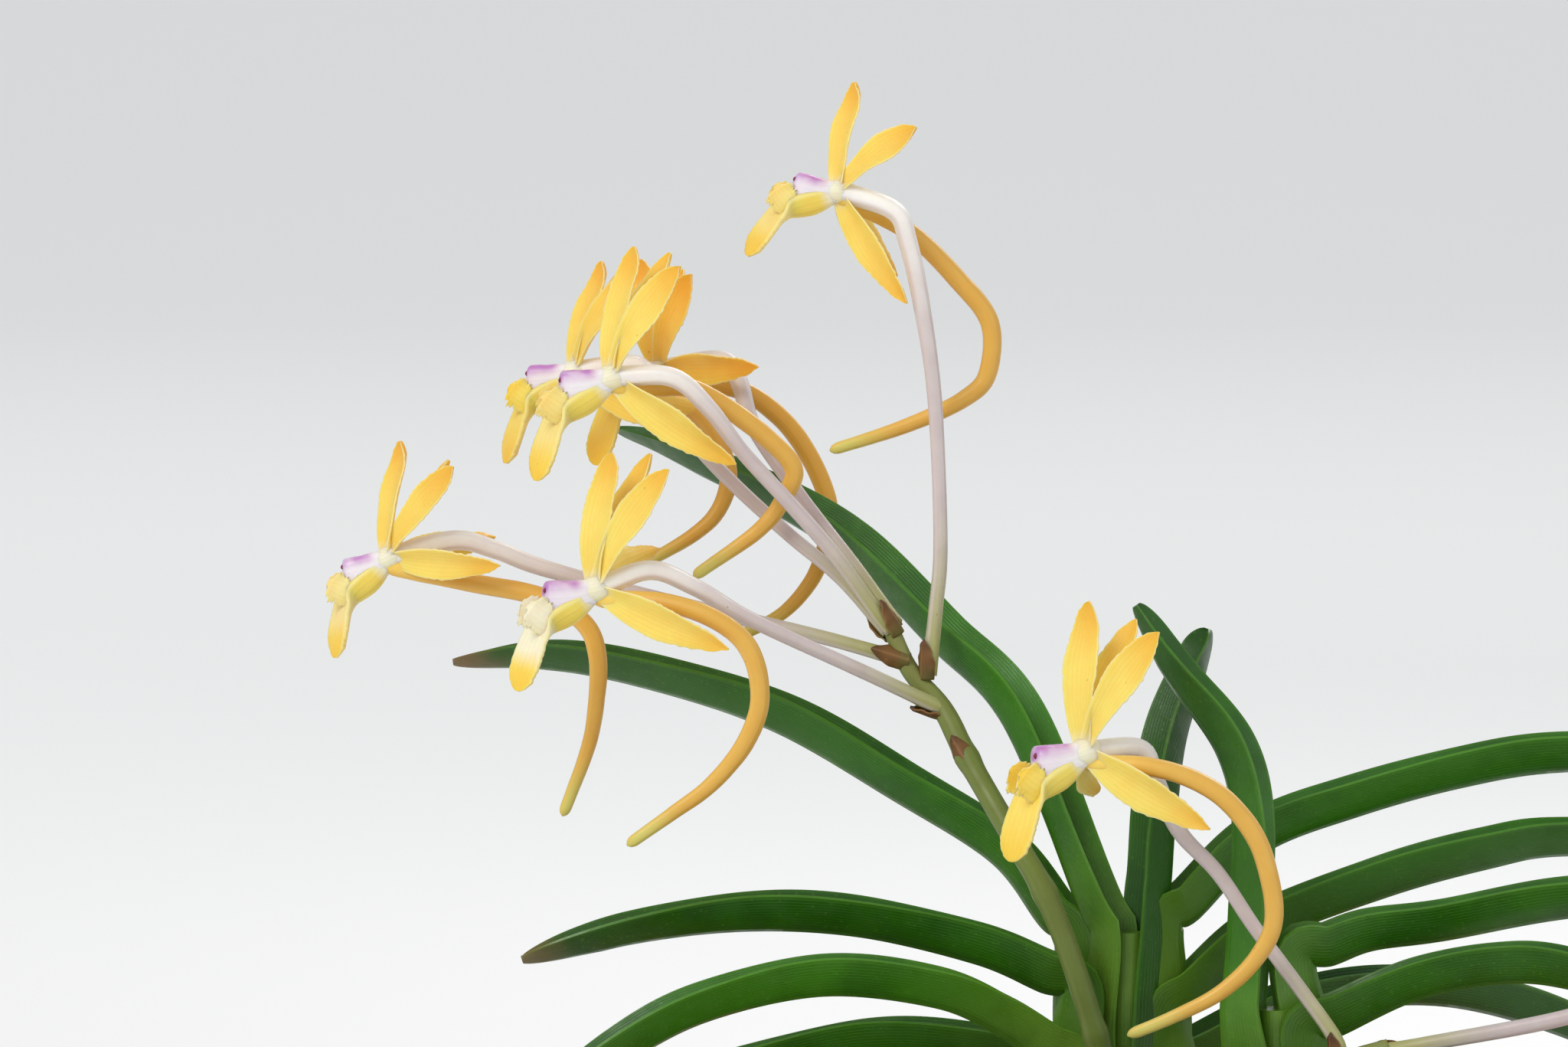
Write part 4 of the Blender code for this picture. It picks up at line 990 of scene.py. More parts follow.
BLOOMS: dict[str, BloomSpec] = {
    "top": BloomSpec(
        heart=(-24.3, 5.0, 164.2), facing=2.0, tip_up=18.0, size=0.85,
        tone=0.25, white=0.2, dorsal=(1.9, 1.2, 8.9),
        petals=((6.6, -4.2, 5.4), (5.9, 5.4, 5.0)), sepals=((5.75, -2.2, -9.3), (5.0, 5.4, -7.4)),
        stalk=((-16.8, 2.4, 123.2), (-16.2, 2.6, 128.9), (-15.8, 3.0, 134.6), (-16.3, 3.4, 146.6),
                (-17.4, 3.7, 154.5), (-18.6, 3.9, 160.0), (-19.8, 4.1, 162.6)),
        spur=((-23.3, 5.3, 163.2), (-20.6, 6.5, 161.9), (-18.0, 7.3, 160.3), (-14.5, 7.8, 156.8),
               (-11.6, 8.0, 153.0), (-11.7, 8.0, 148.6), (-13.7, 7.8, 146.4), (-18.4, 7.4, 144.2),
               (-25.2, 7.0, 142.0)),
    ),
    "front": BloomSpec(
        heart=(-43.5, 0.0, 148.7), facing=8.0, tip_up=0.0, size=0.97,
        tone=0.12, white=0.2, dorsal=(2.4, 1.0, 10.8),
        petals=((5.8, -3.6, 9.4), (5.1, 3.4, 10.1)), sepals=((10.3, -1.6, -7.2), (7.2, 8.8, -3.2)),
        stalk=((-20.0, 2.6, 127.0), (-21.4, 2.2, 128.8), (-24.8, 1.6, 133.5), (-28.7, 1.0, 138.0),
                (-32.6, 0.4, 142.3), (-35.5, -0.2, 146.1), (-38.6, -0.6, 148.7)),
        spur=((-42.8, 0.3, 147.8), (-40.0, 1.5, 147.7), (-36.5, 2.4, 147.4), (-31.6, 3.2, 144.2),
               (-28.4, 3.5, 141.0), (-28.9, 3.6, 138.6), (-31.2, 3.4, 135.5), (-36.8, 3.2, 131.5)),
    ),
    "behind": BloomSpec(
        heart=(-46.9, 10.4, 148.6), facing=-6.0, tip_up=0.0, size=0.88,
        # the raised tone of this rear bloom is partly painted shade
        tone=0.5, white=0.0, dorsal=(3.0, 1.0, 9.2),
        petals=((5.0, -3.6, 8.4), (4.2, 4.0, 8.6)), sepals=((9.0, -3.0, -4.6), (9.2, 1.6, -5.0)),
        stalk=((-20.2, 3.2, 126.8), (-24.3, 5.0, 131.3), (-28.7, 6.2, 134.9), (-33.9, 7.8, 139.6),
                (-37.5, 8.8, 143.6), (-40.2, 9.4, 147.6), (-42.0, 9.8, 149.2)),
        spur=((-46.0, 10.8, 148.5), (-42.5, 11.7, 147.8), (-39.0, 12.3, 146.7), (-35.7, 12.5, 143.9),
               (-33.9, 12.3, 140.0), (-34.6, 12.0, 136.8), (-36.8, 11.7, 134.5), (-41.5, 11.2, 131.8)),
    ),
    "back": BloomSpec(
        heart=(-39.6, 18.0, 148.3), facing=20.0, tip_up=0.0, size=0.9,
        # the raised tone of this rear bloom is partly painted shade
        tone=0.7, white=0.0, dorsal=(-1.3, 2.6, 9.3),
        petals=((2.7, -4.6, 8.4), (1.9, 5.4, 8.2)), sepals=((8.3, -5.6, 0.6), (6.0, 7.6, -3.0)),
        stalk=((-19.6, 3.4, 127.4), (-22.8, 5.8, 131.8), (-27.6, 9.8, 137.8), (-31.6, 13.8, 143.4),
                (-33.0, 16.8, 147.4), (-34.6, 17.9, 149.2)),
        spur=((-39.0, 18.8, 147.5), (-35.8, 20.6, 147.0), (-32.2, 21.2, 146.0), (-28.7, 21.0, 143.2),
               (-26.3, 20.4, 139.4), (-25.2, 19.6, 135.6), (-26.2, 19.0, 131.0), (-29.0, 18.6, 127.4),
               (-33.0, 18.4, 125.2)),
    ),
    "centre": BloomSpec(
        heart=(-44.8, -7.0, 131.3), facing=15.0, tip_up=2.0, size=0.97,
        tone=0.05, white=0.85, dorsal=(1.8, 0.8, 11.2),
        petals=((6.2, -3.2, 10.1), (4.8, 3.2, 10.9)), sepals=((11.0, -3.0, -4.8), (5.2, 10.2, 2.6)),
        stalk=((-15.6, 2.0, 120.3), (-21.6, -1.0, 123.4), (-28.9, -4.2, 127.0), (-32.9, -5.5, 129.1),
                (-36.7, -6.3, 131.4), (-40.4, -6.6, 132.8)),
        spur=((-44.0, -6.9, 130.4), (-39.4, -7.6, 130.2), (-35.1, -8.3, 128.9), (-32.1, -8.6, 126.4),
               (-31.1, -8.7, 122.3), (-32.3, -8.6, 118.5), (-35.1, -8.4, 115.0), (-38.5, -8.2, 112.4),
               (-42.3, -8.0, 109.7)),
    ),
    "left": BloomSpec(
        heart=(-62.6, 3.0, 133.2), facing=0.0, tip_up=-9.0, size=0.86,
        tone=0.3, white=0.3, dorsal=(1.7, 0.6, 9.8),
        petals=((5.9, -3.4, 7.9), (5.2, 4.2, 7.8)), sepals=((9.4, -4.2, -0.4), (8.9, 5.2, 1.4)),
        stalk=((-18.8, 2.6, 124.4), (-23.0, 3.0, 125.6), (-27.7, 3.4, 126.8), (-39.0, 3.8, 129.4),
                (-49.5, 3.8, 132.2), (-53.6, 3.5, 133.8), (-57.2, 3.2, 134.6)),
        spur=((-61.9, 3.0, 132.3), (-56.5, 2.4, 131.2), (-50.0, 1.5, 130.0), (-46.2, 1.0, 127.9),
               (-44.9, 0.8, 124.9), (-45.1, 0.8, 120.3), (-45.9, 1.0, 116.6), (-47.9, 1.0, 111.3)),
    ),
    "right_front": BloomSpec(
        heart=(-3.9, -16.0, 118.4), facing=20.0, tip_up=0.0, size=1.0,
        tone=0.0, white=0.0, dorsal=(0.7, 1.0, 12.3),
        petals=((6.0, -3.4, 10.1), (4.5, 3.2, 10.6)), sepals=((10.2, -2.4, -6.1), (1.6, 11.2, -4.4)),
        stalk=((17.4, -14.0, 91.8), (17.0, -13.9, 94.0), (14.0, -13.8, 98.3), (10.3, -13.7, 103.3),
                (7.2, -13.7, 107.9), (3.9, -13.8, 111.5), (1.9, -13.7, 115.8), (0.6, -14.0, 118.4)),
        spur=((-3.2, -15.9, 117.4), (1.0, -16.6, 117.2), (5.0, -17.0, 116.1), (8.1, -17.2, 114.0),
               (10.6, -17.3, 110.3), (11.7, -17.3, 104.8), (10.3, -17.2, 101.3), (7.2, -17.1, 98.3),
               (3.2, -17.0, 96.2), (-0.5, -17.0, 94.7)),
    ),
    "right_side": BloomSpec(
        heart=(51.0, -19.0, 101.4), facing=165.0, tip_up=0.0, size=0.95,
        tone=0.25, white=0.4, dorsal=(-1.8, -0.8, 10.8),
        petals=((-6.0, 3.6, 9.4), (-4.8, -3.2, 9.8)), sepals=((-10.0, 2.6, -6.0), (-6.6, -9.2, -3.6)),
        stalk=((20.6, -14.0, 93.0), (24.0, -14.4, 93.6), (36.8, -16.8, 96.4), (43.0, -18.0, 99.6),
                (47.0, -18.4, 101.8)),
        spur=((50.2, -19.2, 100.5), (46.0, -19.6, 100.1), (42.4, -20.0, 98.4), (39.2, -20.4, 95.0),
               (37.8, -20.6, 91.0), (38.4, -20.8, 87.0), (41.4, -21.0, 83.6), (46.4, -21.0, 81.2)),
    ),
}
LEFT_SPRAY = ("top", "front", "behind", "back", "centre", "left")
RIGHT_SPRAY = ("right_front", "right_side")


class Tepal(Enum):
    """The kinds of petal and sepal: each one's outline, and how sharply it is drawn in at its tip."""

    DORSAL = (((0.0, 1.5), (0.25, 2.7), (0.55, 3.45), (0.85, 2.5), (1.0, 1.4)), 0.5)
    PETAL = (((0.0, 1.2), (0.28, 2.3), (0.62, 3.55), (0.85, 2.5), (1.0, 1.0)), 0.62)
    SEPAL = (((0.0, 1.4), (0.3, 3.1), (0.52, 3.45), (0.85, 1.8), (1.0, 0.7)), 0.7)


@dataclass
class Bloom:
    """One bloom: three sepals, two petals, a lobed lip, a long spur and a column."""

    name: str
    spec: BloomSpec
    arch: float = 1.5
    spur_radius: float = 0.8
    dorsal_face: tuple[float, float, float] = (0.8, 0.59, 0.1)
    petal_faces: Knots = ((0.83, 0.56, -0.04), (0.93, 0.36, 0.0))
    sepal_faces: Knots = ((0.5, 0.84, -0.2), (0.5, -0.84, -0.2))
    lip_face: tuple[float, float, float] = (0.64, 0.46, 0.6)

    def __post_init__(self) -> None:
        """Works out the bloom's own directions."""
        facing = math.radians(self.spec.facing)
        tip = math.radians(self.spec.tip_up)
        level = Vector((-math.cos(facing), -math.sin(facing), 0.0))
        rise = Vector((0.0, 0.0, 1.0))
        self.middle = Vector(self.spec.heart)
        self.forward = level * math.cos(tip) + rise * math.sin(tip)
        self.upward = rise * math.cos(tip) - level * math.sin(tip)
        self.sideways = self.upward.cross(self.forward)
        self.draw = random.Random(SEED + sum(ord(letter) for letter in self.name))

    def way(self, forward: float, sideways: float, upward: float) -> Vector:
        """A direction in the model from one in the bloom."""
        return self.forward * forward + self.sideways * sideways + self.upward * upward

    def spot(self, forward: float, sideways: float, upward: float) -> Vector:
        """A place in the model from one in the bloom, in millimetres."""
        return self.middle + self.way(forward, sideways, upward) * self.spec.size

    def route(self, *points: tuple[float, float, float]) -> Route:
        """A path through places in the bloom."""
        return Route(tuple(tuple(self.spot(*point)) for point in points))

    def add_tepal(self, skin: Skin, kind: Tepal, tip: tuple, face: tuple) -> None:
        """Adds one petal or sepal that arches forward from the heart and hooks a little at its tip.

        Args:
            skin: the bloom's skin.
            kind: which tepal it is.
            tip: its tip as seen from the heart, in millimetres.
            face: the way its inner face looks, in the bloom's own directions.
        """
        looks = self.way(*face).normalized()
        root = self.spot(0.15, 0.0, 0.0)
        end = self.middle + Vector(tip) * 1.01
        bow = (root + end) / 2 + self.forward * self.arch * self.spec.size
        outline, sharp = kind.value
        hook = 0.75 if kind is Tepal.DORSAL else self.draw.uniform(-0.1, 0.4)
        points = []
        for t in (0.0, 0.2, 0.4, 0.6, 0.8, 0.92, 1.0):
            spot = root * (1 - t) ** 2 + bow * 2 * t * (1 - t) + end * t ** 2
            points.append(tuple(spot + looks * hook * max(0.0, (t - 0.75) / 0.25) ** 2))
        cut = Cut(
            outline=outline, folds=((0.0, 30.0), (0.3, 17.0), (0.8, 13.0), (1.0, 20.0)), rib=0.52, edge=0.12,
            tip_from=0.87, sharp=sharp, gutter=0.4, ripple=0.04 + 0.08 * self.draw.random(),
            waves=1.2 + self.draw.random(), nibble_from=0.3, nibble=0.13, rows=96, columns=17,
        )
        cut.lay(
            skin, Route(tuple(points)), lambda _ahead: looks, self.spec.tone + self.draw.uniform(-0.08, 0.12),
            scale=self.spec.size, twist=self.draw.uniform(-5.0, 5.0), phase=self.draw.uniform(0.0, 6.0),
        )

    def build_tepals(self, palette: Palette) -> bpy.types.Object:
        """Makes the sepals and petals, and the small heart that they grow from."""
        skin = Skin(f"bloom_{self.name}_tepals")
        self.add_tepal(skin, Tepal.DORSAL, self.spec.dorsal, self.dorsal_face)
        for tip, face in zip(self.spec.petals, self.petal_faces):
            self.add_tepal(skin, Tepal.PETAL, tip, face)
        for tip, face in zip(self.spec.sepals, self.sepal_faces):
            self.add_tepal(skin, Tepal.SEPAL, tip, face)
        size = self.spec.size * 1.18
        skin.tube(
            self.route((-1.5, 0.0, 0.2), (0.1, 0.0, -0.1), (1.9, 0.0, -0.6)),
            lambda share: size * dome((2 * share - 1) ** 2, 0.02), 20, 16, 0.0, age=1.0,
        )
        return skin.build(palette.of("petal_gold"), Slot.PETAL, "bloom_" + self.name)

    def build_lip(self, palette: Palette) -> bpy.types.Object:
        """Makes the lip: a trough that bends into a fleshy tongue, with an upright flap on either side."""
        skin = Skin(f"bloom_{self.name}_lip")
        size = self.spec.size
        white = self.spec.white
        tongue = self.route(
            (0.5, 0.0, -1.0), (2.3, 0.0, -2.35), (4.1, 0.0, -3.2), (5.1, 0.0, -4.45),
            (5.8, 0.0, -6.4), (6.55, 0.0, -9.1),
        )
        cut = Cut(
            outline=((0.0, 1.5), (0.16, 3.2), (0.36, 3.5), (0.5, 3.0), (0.74, 3.3), (0.9, 2.9), (1.0, 2.2)),
            folds=((0.0, 50.0), (0.32, 46.0), (0.5, 4.0), (1.0, -8.0)), rib=1.1, edge=0.35, tip_from=0.86,
            gutter=0.5, ripple=0.05, waves=2.6, nibble=0.15, rows=72, columns=17,
        )

        def looks(ahead: Vector) -> Vector:
            """The trough opens upward, and the tongue looks forward."""
            turn = smoothstep(0.5, 0.88, -ahead.dot(self.upward))
            return self.way(0.3, 0.0, 1.0).lerp(self.way(*self.lip_face), turn)

        def pale(share: float) -> float:
            """Where the tongue is white: below its bend, before its tip."""
            return white * smoothstep(0.36, 0.46, share) * (1 - smoothstep(0.62, 0.84, share))

        cut.lay(skin, tongue, looks, self.spec.tone * 0.4, scale=size, age=pale)
        flap = Cut(
            outline=((0.0, 1.2), (0.15, 1.7), (0.45, 2.8), (0.8, 2.8), (1.0, 2.2)),
            folds=((0.0, 16.0), (1.0, -12.0)), rib=0.55, edge=0.25, tip_from=0.76, gutter=0.6,
            ripple=0.16, waves=1.5, nibble=0.5, nibble_from=0.2, rows=40, columns=15,
        )
        for side in (1, -1):
            lobe = self.route((3.1, 0.3 * side, -2.5), (4.7, 1.15 * side, -2.65), (6.45, 1.3 * side, -1.5))
            inward = self.way(0.0, -side, 0.12)
            flap.lay(
                skin, lobe, lambda _ahead, inward=inward: inward, 0.0, scale=size, age=white,
                phase=1.4 * side, span=(0.14, 1.0),
            )
        ridge = self.route((1.4, 0.0, -1.8), (2.2, 0.0, -2.2), (3.0, 0.0, -2.55), (3.7, 0.0, -2.95))
        skin.tube(ridge, spindle(0.36 * size, 0.12), 12, 12, 0.0, age=0.8)
        return skin.build(palette.of("lip_gold"), Slot.PETAL, "bloom_" + self.name)

    def build_spur(self, palette: Palette) -> bpy.types.Object:
        """Makes the long curved spur, faintly grooved and narrowed towards its rounded tip."""
        skin = Skin(f"bloom_{self.name}_spur")
        route = Route((tuple(self.spot(0.0, 0.0, -0.2)), *self.spec.spur))
        taper = ((0.0, 1.1), (0.08, 0.98), (0.35, 1.1), (0.6, 1.04), (0.93, 0.7), (1.0, 0.66))

        def radius(share: float) -> float:
            """The spur's radius, rounded off at its end."""
            past = max(0.0, (share - 0.975) / 0.025)
            return self.spur_radius * soft_value(taper, share, 0.04) * dome(past * past, 0.03)

        def groove(share: float, turn: float) -> float:
            """A shallow groove down one side, and slight unevenness."""
            uneven = noise.noise(Vector((share * 22, math.cos(turn) * 0.7, math.sin(turn) * 0.7)))
            return 1 - 0.07 * math.exp(-(turn - 3.1) ** 2 * 6) + 0.035 * uneven

        skin.tube(route, radius, 20, 150, self.spec.tone, shape=groove, squash=0.9)
        return skin.build(palette.of("spur_amber"), Slot.PETAL, "bloom_" + self.name)

    def build_column(self, palette: Palette) -> bpy.types.Object:
        """Makes the stout column with its blunt front, its side wings and the small dark anther."""
        skin = Skin(f"column_{self.name}_body")
        size = self.spec.size
        route = self.route(
            (0.4, 0.0, -0.3), (1.5, 0.0, -0.55), (2.6, 0.0, -0.75), (3.8, 0.0, -0.85), (4.8, 0.0, -0.9),
        )
        taper = ((0.0, 1.15), (0.3, 1.4), (0.7, 1.55), (0.93, 1.5), (1.0, 1.3))

        def radius(share: float) -> float:
            """The column's radius, with its blunt front edge rounded off."""
            past = max(0.0, (share - 0.88) / 0.12)
            return size * soft_value(taper, share, 0.04) * dome(0.9 * past ** 3, 0.05)

        def box(share: float, turn: float) -> float:
            """A section with soft corners and slight unevenness."""
            uneven = noise.noise(Vector((share * 3.0, math.cos(turn), math.sin(turn) + len(self.name))))
            return 1 - 0.07 * math.cos(4 * turn) + 0.05 * uneven

        skin.tube(route, radius, 28, 36, 0.1, shape=box, squash=0.82, top=self.upward)
        anther = self.route((4.2, 0.4, -0.2), (4.65, 0.45, -0.25), (4.85, 0.47, -0.4))
        skin.tube(anther, spindle(0.32 * size, 0.1), 16, 12, 0.3, coat=1)
        for side in (1, -1):
            wing = self.route((2.4, 0.7 * side, -1.5), (3.6, 0.8 * side, -1.75), (4.6, 0.7 * side, -1.8))
            skin.tube(wing, spindle(0.42 * size, 0.15), 12, 14, 0.0, top=-self.upward)
        return skin.build(palette.of("column_lilac", "anther_plum"), Slot.COLUMN, "column_" + self.name)

    def build(self, palette: Palette) -> None:
        """Makes every piece of the bloom."""
        self.build_tepals(palette)
        self.build_lip(palette)
        self.build_spur(palette)
        self.build_column(palette)


@dataclass
class Spray:
    """A flower stem: its peduncle, a stalk up to each bloom, and a papery bract at each foot."""

    node: str
    peduncle: Knots
    blooms: tuple[str, ...]
    peduncle_radius: float = 1.0
    stalk_radius: float = 0.72

    def add_bract(self, skin: Skin, root: Vector, ahead: Vector, around: float) -> None:
        """Adds a small scale that hugs the foot of a stalk."""
        out = Matrix.Rotation(around, 3, ahead) @ ahead.orthogonal().normalized()
        knots = tuple(
            tuple(root + ahead * up - out * away) for up, away in ((-1.3, 0.5), (0.4, 0.8), (2.1, 1.15))
        )
        cut = Cut(
            outline=((0.0, 1.9), (0.4, 2.2), (1.0, 0.7)), folds=((0.0, 42.0), (1.0, 14.0)), rib=0.3,
            edge=0.12, tip_from=0.6, gutter=0.4, ripple=0.08, rows=20, columns=11,
        )
        cut.lay(skin, Route(knots), lambda _ahead: out, 0.4, coat=2)

    def build(self, palette: Palette) -> bpy.types.Object:
        """Makes the whole flower stem as one piece."""
        skin = Skin(self.node + "_growth")
        stem = Route(self.peduncle)
        taper = ((0.0, 1.25), (0.2, 1.0), (0.8, 0.95), (1.0, 0.7))
        joints = (0.22, 0.47, 0.74)

        def thickness(share: float) -> float:
            """The stem's radius, with a slight swelling at each joint."""
            swell = sum(math.exp(-((share - joint) / 0.018) ** 2) for joint in joints)
            return self.peduncle_radius * (value_along(taper, share) + 0.16 * swell)

        skin.tube(stem, thickness, 20, 90, 0.35, coat=1)
        for joint in joints[1:]:
            self.add_bract(skin, stem.at(joint), stem.ahead(joint), joint * 9)
        for index, bloom in enumerate(self.blooms):
            spec = BLOOMS[bloom]
            route = Route((*spec.stalk, spec.heart))
            slim = ((0.0, 0.95), (0.1, 0.85), (0.6, 0.88), (0.85, 1.1), (1.0, 1.25))
            skin.tube(
                route, lambda share: self.stalk_radius * value_along(slim, share), 18, 80, 0.12 * (index % 4),
                shape=lambda share, turn: 1 + 0.055 * math.cos(6 * turn + 5 * share),
            )
            self.add_bract(skin, route.at(0.02), route.ahead(0.02), index * 2.1)
        finishes = palette.of("stalk_lilac", "peduncle_green", "bract_brown")
        return skin.build(finishes, Slot.STALK, self.node)


@dataclass
class Roots:
    """Fleshy roots that leave the foot of a fan and run over or into the moss."""

    node: str
    foot: tuple[float, float]
    runs: tuple[Knots, ...]
    radius: float = 1.2
    collar_level: float = 83.6
    stubs: int = 7

    def build(self, palette: Palette) -> bpy.types.Object:
        """Makes the roots and the knotted collar that they leave."""
        skin = Skin(self.node + "_velamen")
        for index, knots in enumerate(self.runs):
            start = Vector((*self.foot, self.collar_level - 0.6))
            route = Route((tuple(start), *knots))
            skin.tube(route, self.thickness, 16, 120, 0.2 * index, shape=self.lumps(index))
        middle = Vector((*self.foot, self.collar_level))
        for index in range(self.stubs):
            turn = 2 * math.pi * index / self.stubs + 0.4
            out = polar(1.0, turn)
            fall = middle + out * 5.2 - Vector((0, 0, 2.6))
            stub = Route((tuple(middle + out * 1.6), tuple(middle + out * 4.0), tuple(fall)))
            skin.tube(stub, lambda share: 1.25 - 0.3 * share, 12, 14, 0.1)
        return skin.build(palette.of("root_velamen"), Slot.ROOT, self.node)

    def thickness(self, share: float) -> float:
        """A root's radius, rounded off at its growing tip."""
        past = max(0.0, (share - 0.94) / 0.06)
        return self.radius * (1 - 0.05 * share) * dome(past ** 2, 0.03)

    @staticmethod
    def lumps(index: int) -> Callable[[float, float], float]:
        """A factor that makes a root slightly uneven along its run."""
        def shape(share: float, turn: float) -> float:
            """The factor at one place."""
            spot = Vector((share * 16, math.cos(turn) * 0.6, index * 7.0 + math.sin(turn) * 0.6))
            return 1 + 0.13 * noise.noise(spot)
        return shape


@dataclass
class Pot:
    """A turned clay pot with a rim band, rounded edges and drain holes."""

    height: float = 78.0
    base_radius: float = 28.0
    top_radius: float = 37.6
    wall: float = 3.6
    floor: float = 5.0
    rim_radius: float = 40.4
    rim_band: float = 12.0
    drain_radius: float = 4.0
    drain_circle: float = 13.0
    drain_count: int = 3
    sides: int = 160

    def inner_radius(self, height: float) -> float:
        """The radius of the inside at a height."""
        return self.base_radius + (self.top_radius - self.base_radius) * height / self.height - self.wall

    def profile(self) -> list[tuple[float, float]]:
        """The pot's section from the middle of its underside round to the middle of its floor inside."""
        band = self.height - self.rim_band
        under = self.inner_radius(band) + self.wall
        points = [(0.0, 0.0), (self.base_radius - 3.0, 0.0)]
        points += self.arc(self.base_radius - 1.4, 1.4, 1.4, -90, 0)
        points += [(self.base_radius + (under - self.base_radius) * share, 1.4 + (band - 2.2) * share)
                   for share in (0.2, 0.4, 0.6, 0.8)]
        points += [(under, band - 0.8), (under + 0.5, band - 0.2)]
        points += self.arc(self.rim_radius - 1.0, band + 1.0, 1.0, -90, 0)
        points += [(self.rim_radius, self.height - 5.0)]
        points += self.arc(self.rim_radius - 1.5, self.height - 1.5, 1.5, 0, 90)
        points += self.arc(self.inner_radius(self.height) + 1.3, self.height - 1.3, 1.3, 90, 180)
        points += [(self.inner_radius(self.height * 0.6), self.height * 0.6)]
        points += [(self.inner_radius(self.floor), self.floor), (0.0, self.floor)]
        return points

    @staticmethod
    def arc(
        radius: float, height: float, reach: float, start: float, end: float,
    ) -> list[tuple[float, float]]:
        """Points on a quarter round of the section."""
        turns = [math.radians(start + (end - start) * step / 5) for step in range(6)]
        return [(radius + reach * math.cos(turn), height + reach * math.sin(turn)) for turn in turns]

    def build(self, palette: Palette) -> bpy.types.Object:
        """Turns the pot and drills its drain holes."""
        skin = Skin("pot_clay")
        rows = []
        for radius, level in self.profile():
            turns = (2 * math.pi * side / self.sides for side in range(self.sides))
            reach = max(radius, 0.05)
            rows.append([skin.add(polar(reach, turn, level), 0.0, 0.0, 0.0) for turn in turns])
        skin.join_rows(rows)
        skin.cap(rows[0], Vector((0.0, 0.0, 0.0)), 0.0, 0.0, 0, flip=True)
        skin.cap(rows[-1], Vector((0.0, 0.0, self.floor)), 0.0, 0.0, 0)
        pot = skin.build(palette.of("clay_unglazed"), Slot.CLAY, "pot")
        drill = self.build_drill()
        cut = pot.modifiers.new("drain", "BOOLEAN")
        cut.operation = "DIFFERENCE"
        cut.object = drill
        cut.solver = "EXACT"
        bpy.context.view_layer.update()
        shape = bpy.data.meshes.new_from_object(pot.evaluated_get(bpy.context.evaluated_depsgraph_get()))
        pot.modifiers.clear()
        pot.data = shape
        shape.shade_smooth()
        shape.set_sharp_from_angle(angle=math.radians(50))
        bpy.data.objects.remove(drill, do_unlink=True)
        return pot

    def build_drill(self) -> bpy.types.Object:
        """Makes the round bars that the drain holes are cut with."""
        skin = Skin("drill")
        for index in range(self.drain_count):
            turn = 2 * math.pi * index / self.drain_count + math.pi / 2
            ends = (polar(self.drain_circle, turn, level) for level in (-3.0, self.floor + 3.0))
            bar = Route(tuple(tuple(end) for end in ends))
            skin.tube(bar, lambda share: self.drain_radius, 40, 2, 0.0)
        mesh = bpy.data.meshes.new("drill")
        mesh.from_pydata(skin.points, [], skin.faces)
        drill = bpy.data.objects.new("drill", mesh)
        bpy.context.scene.collection.objects.link(drill)
        return drill


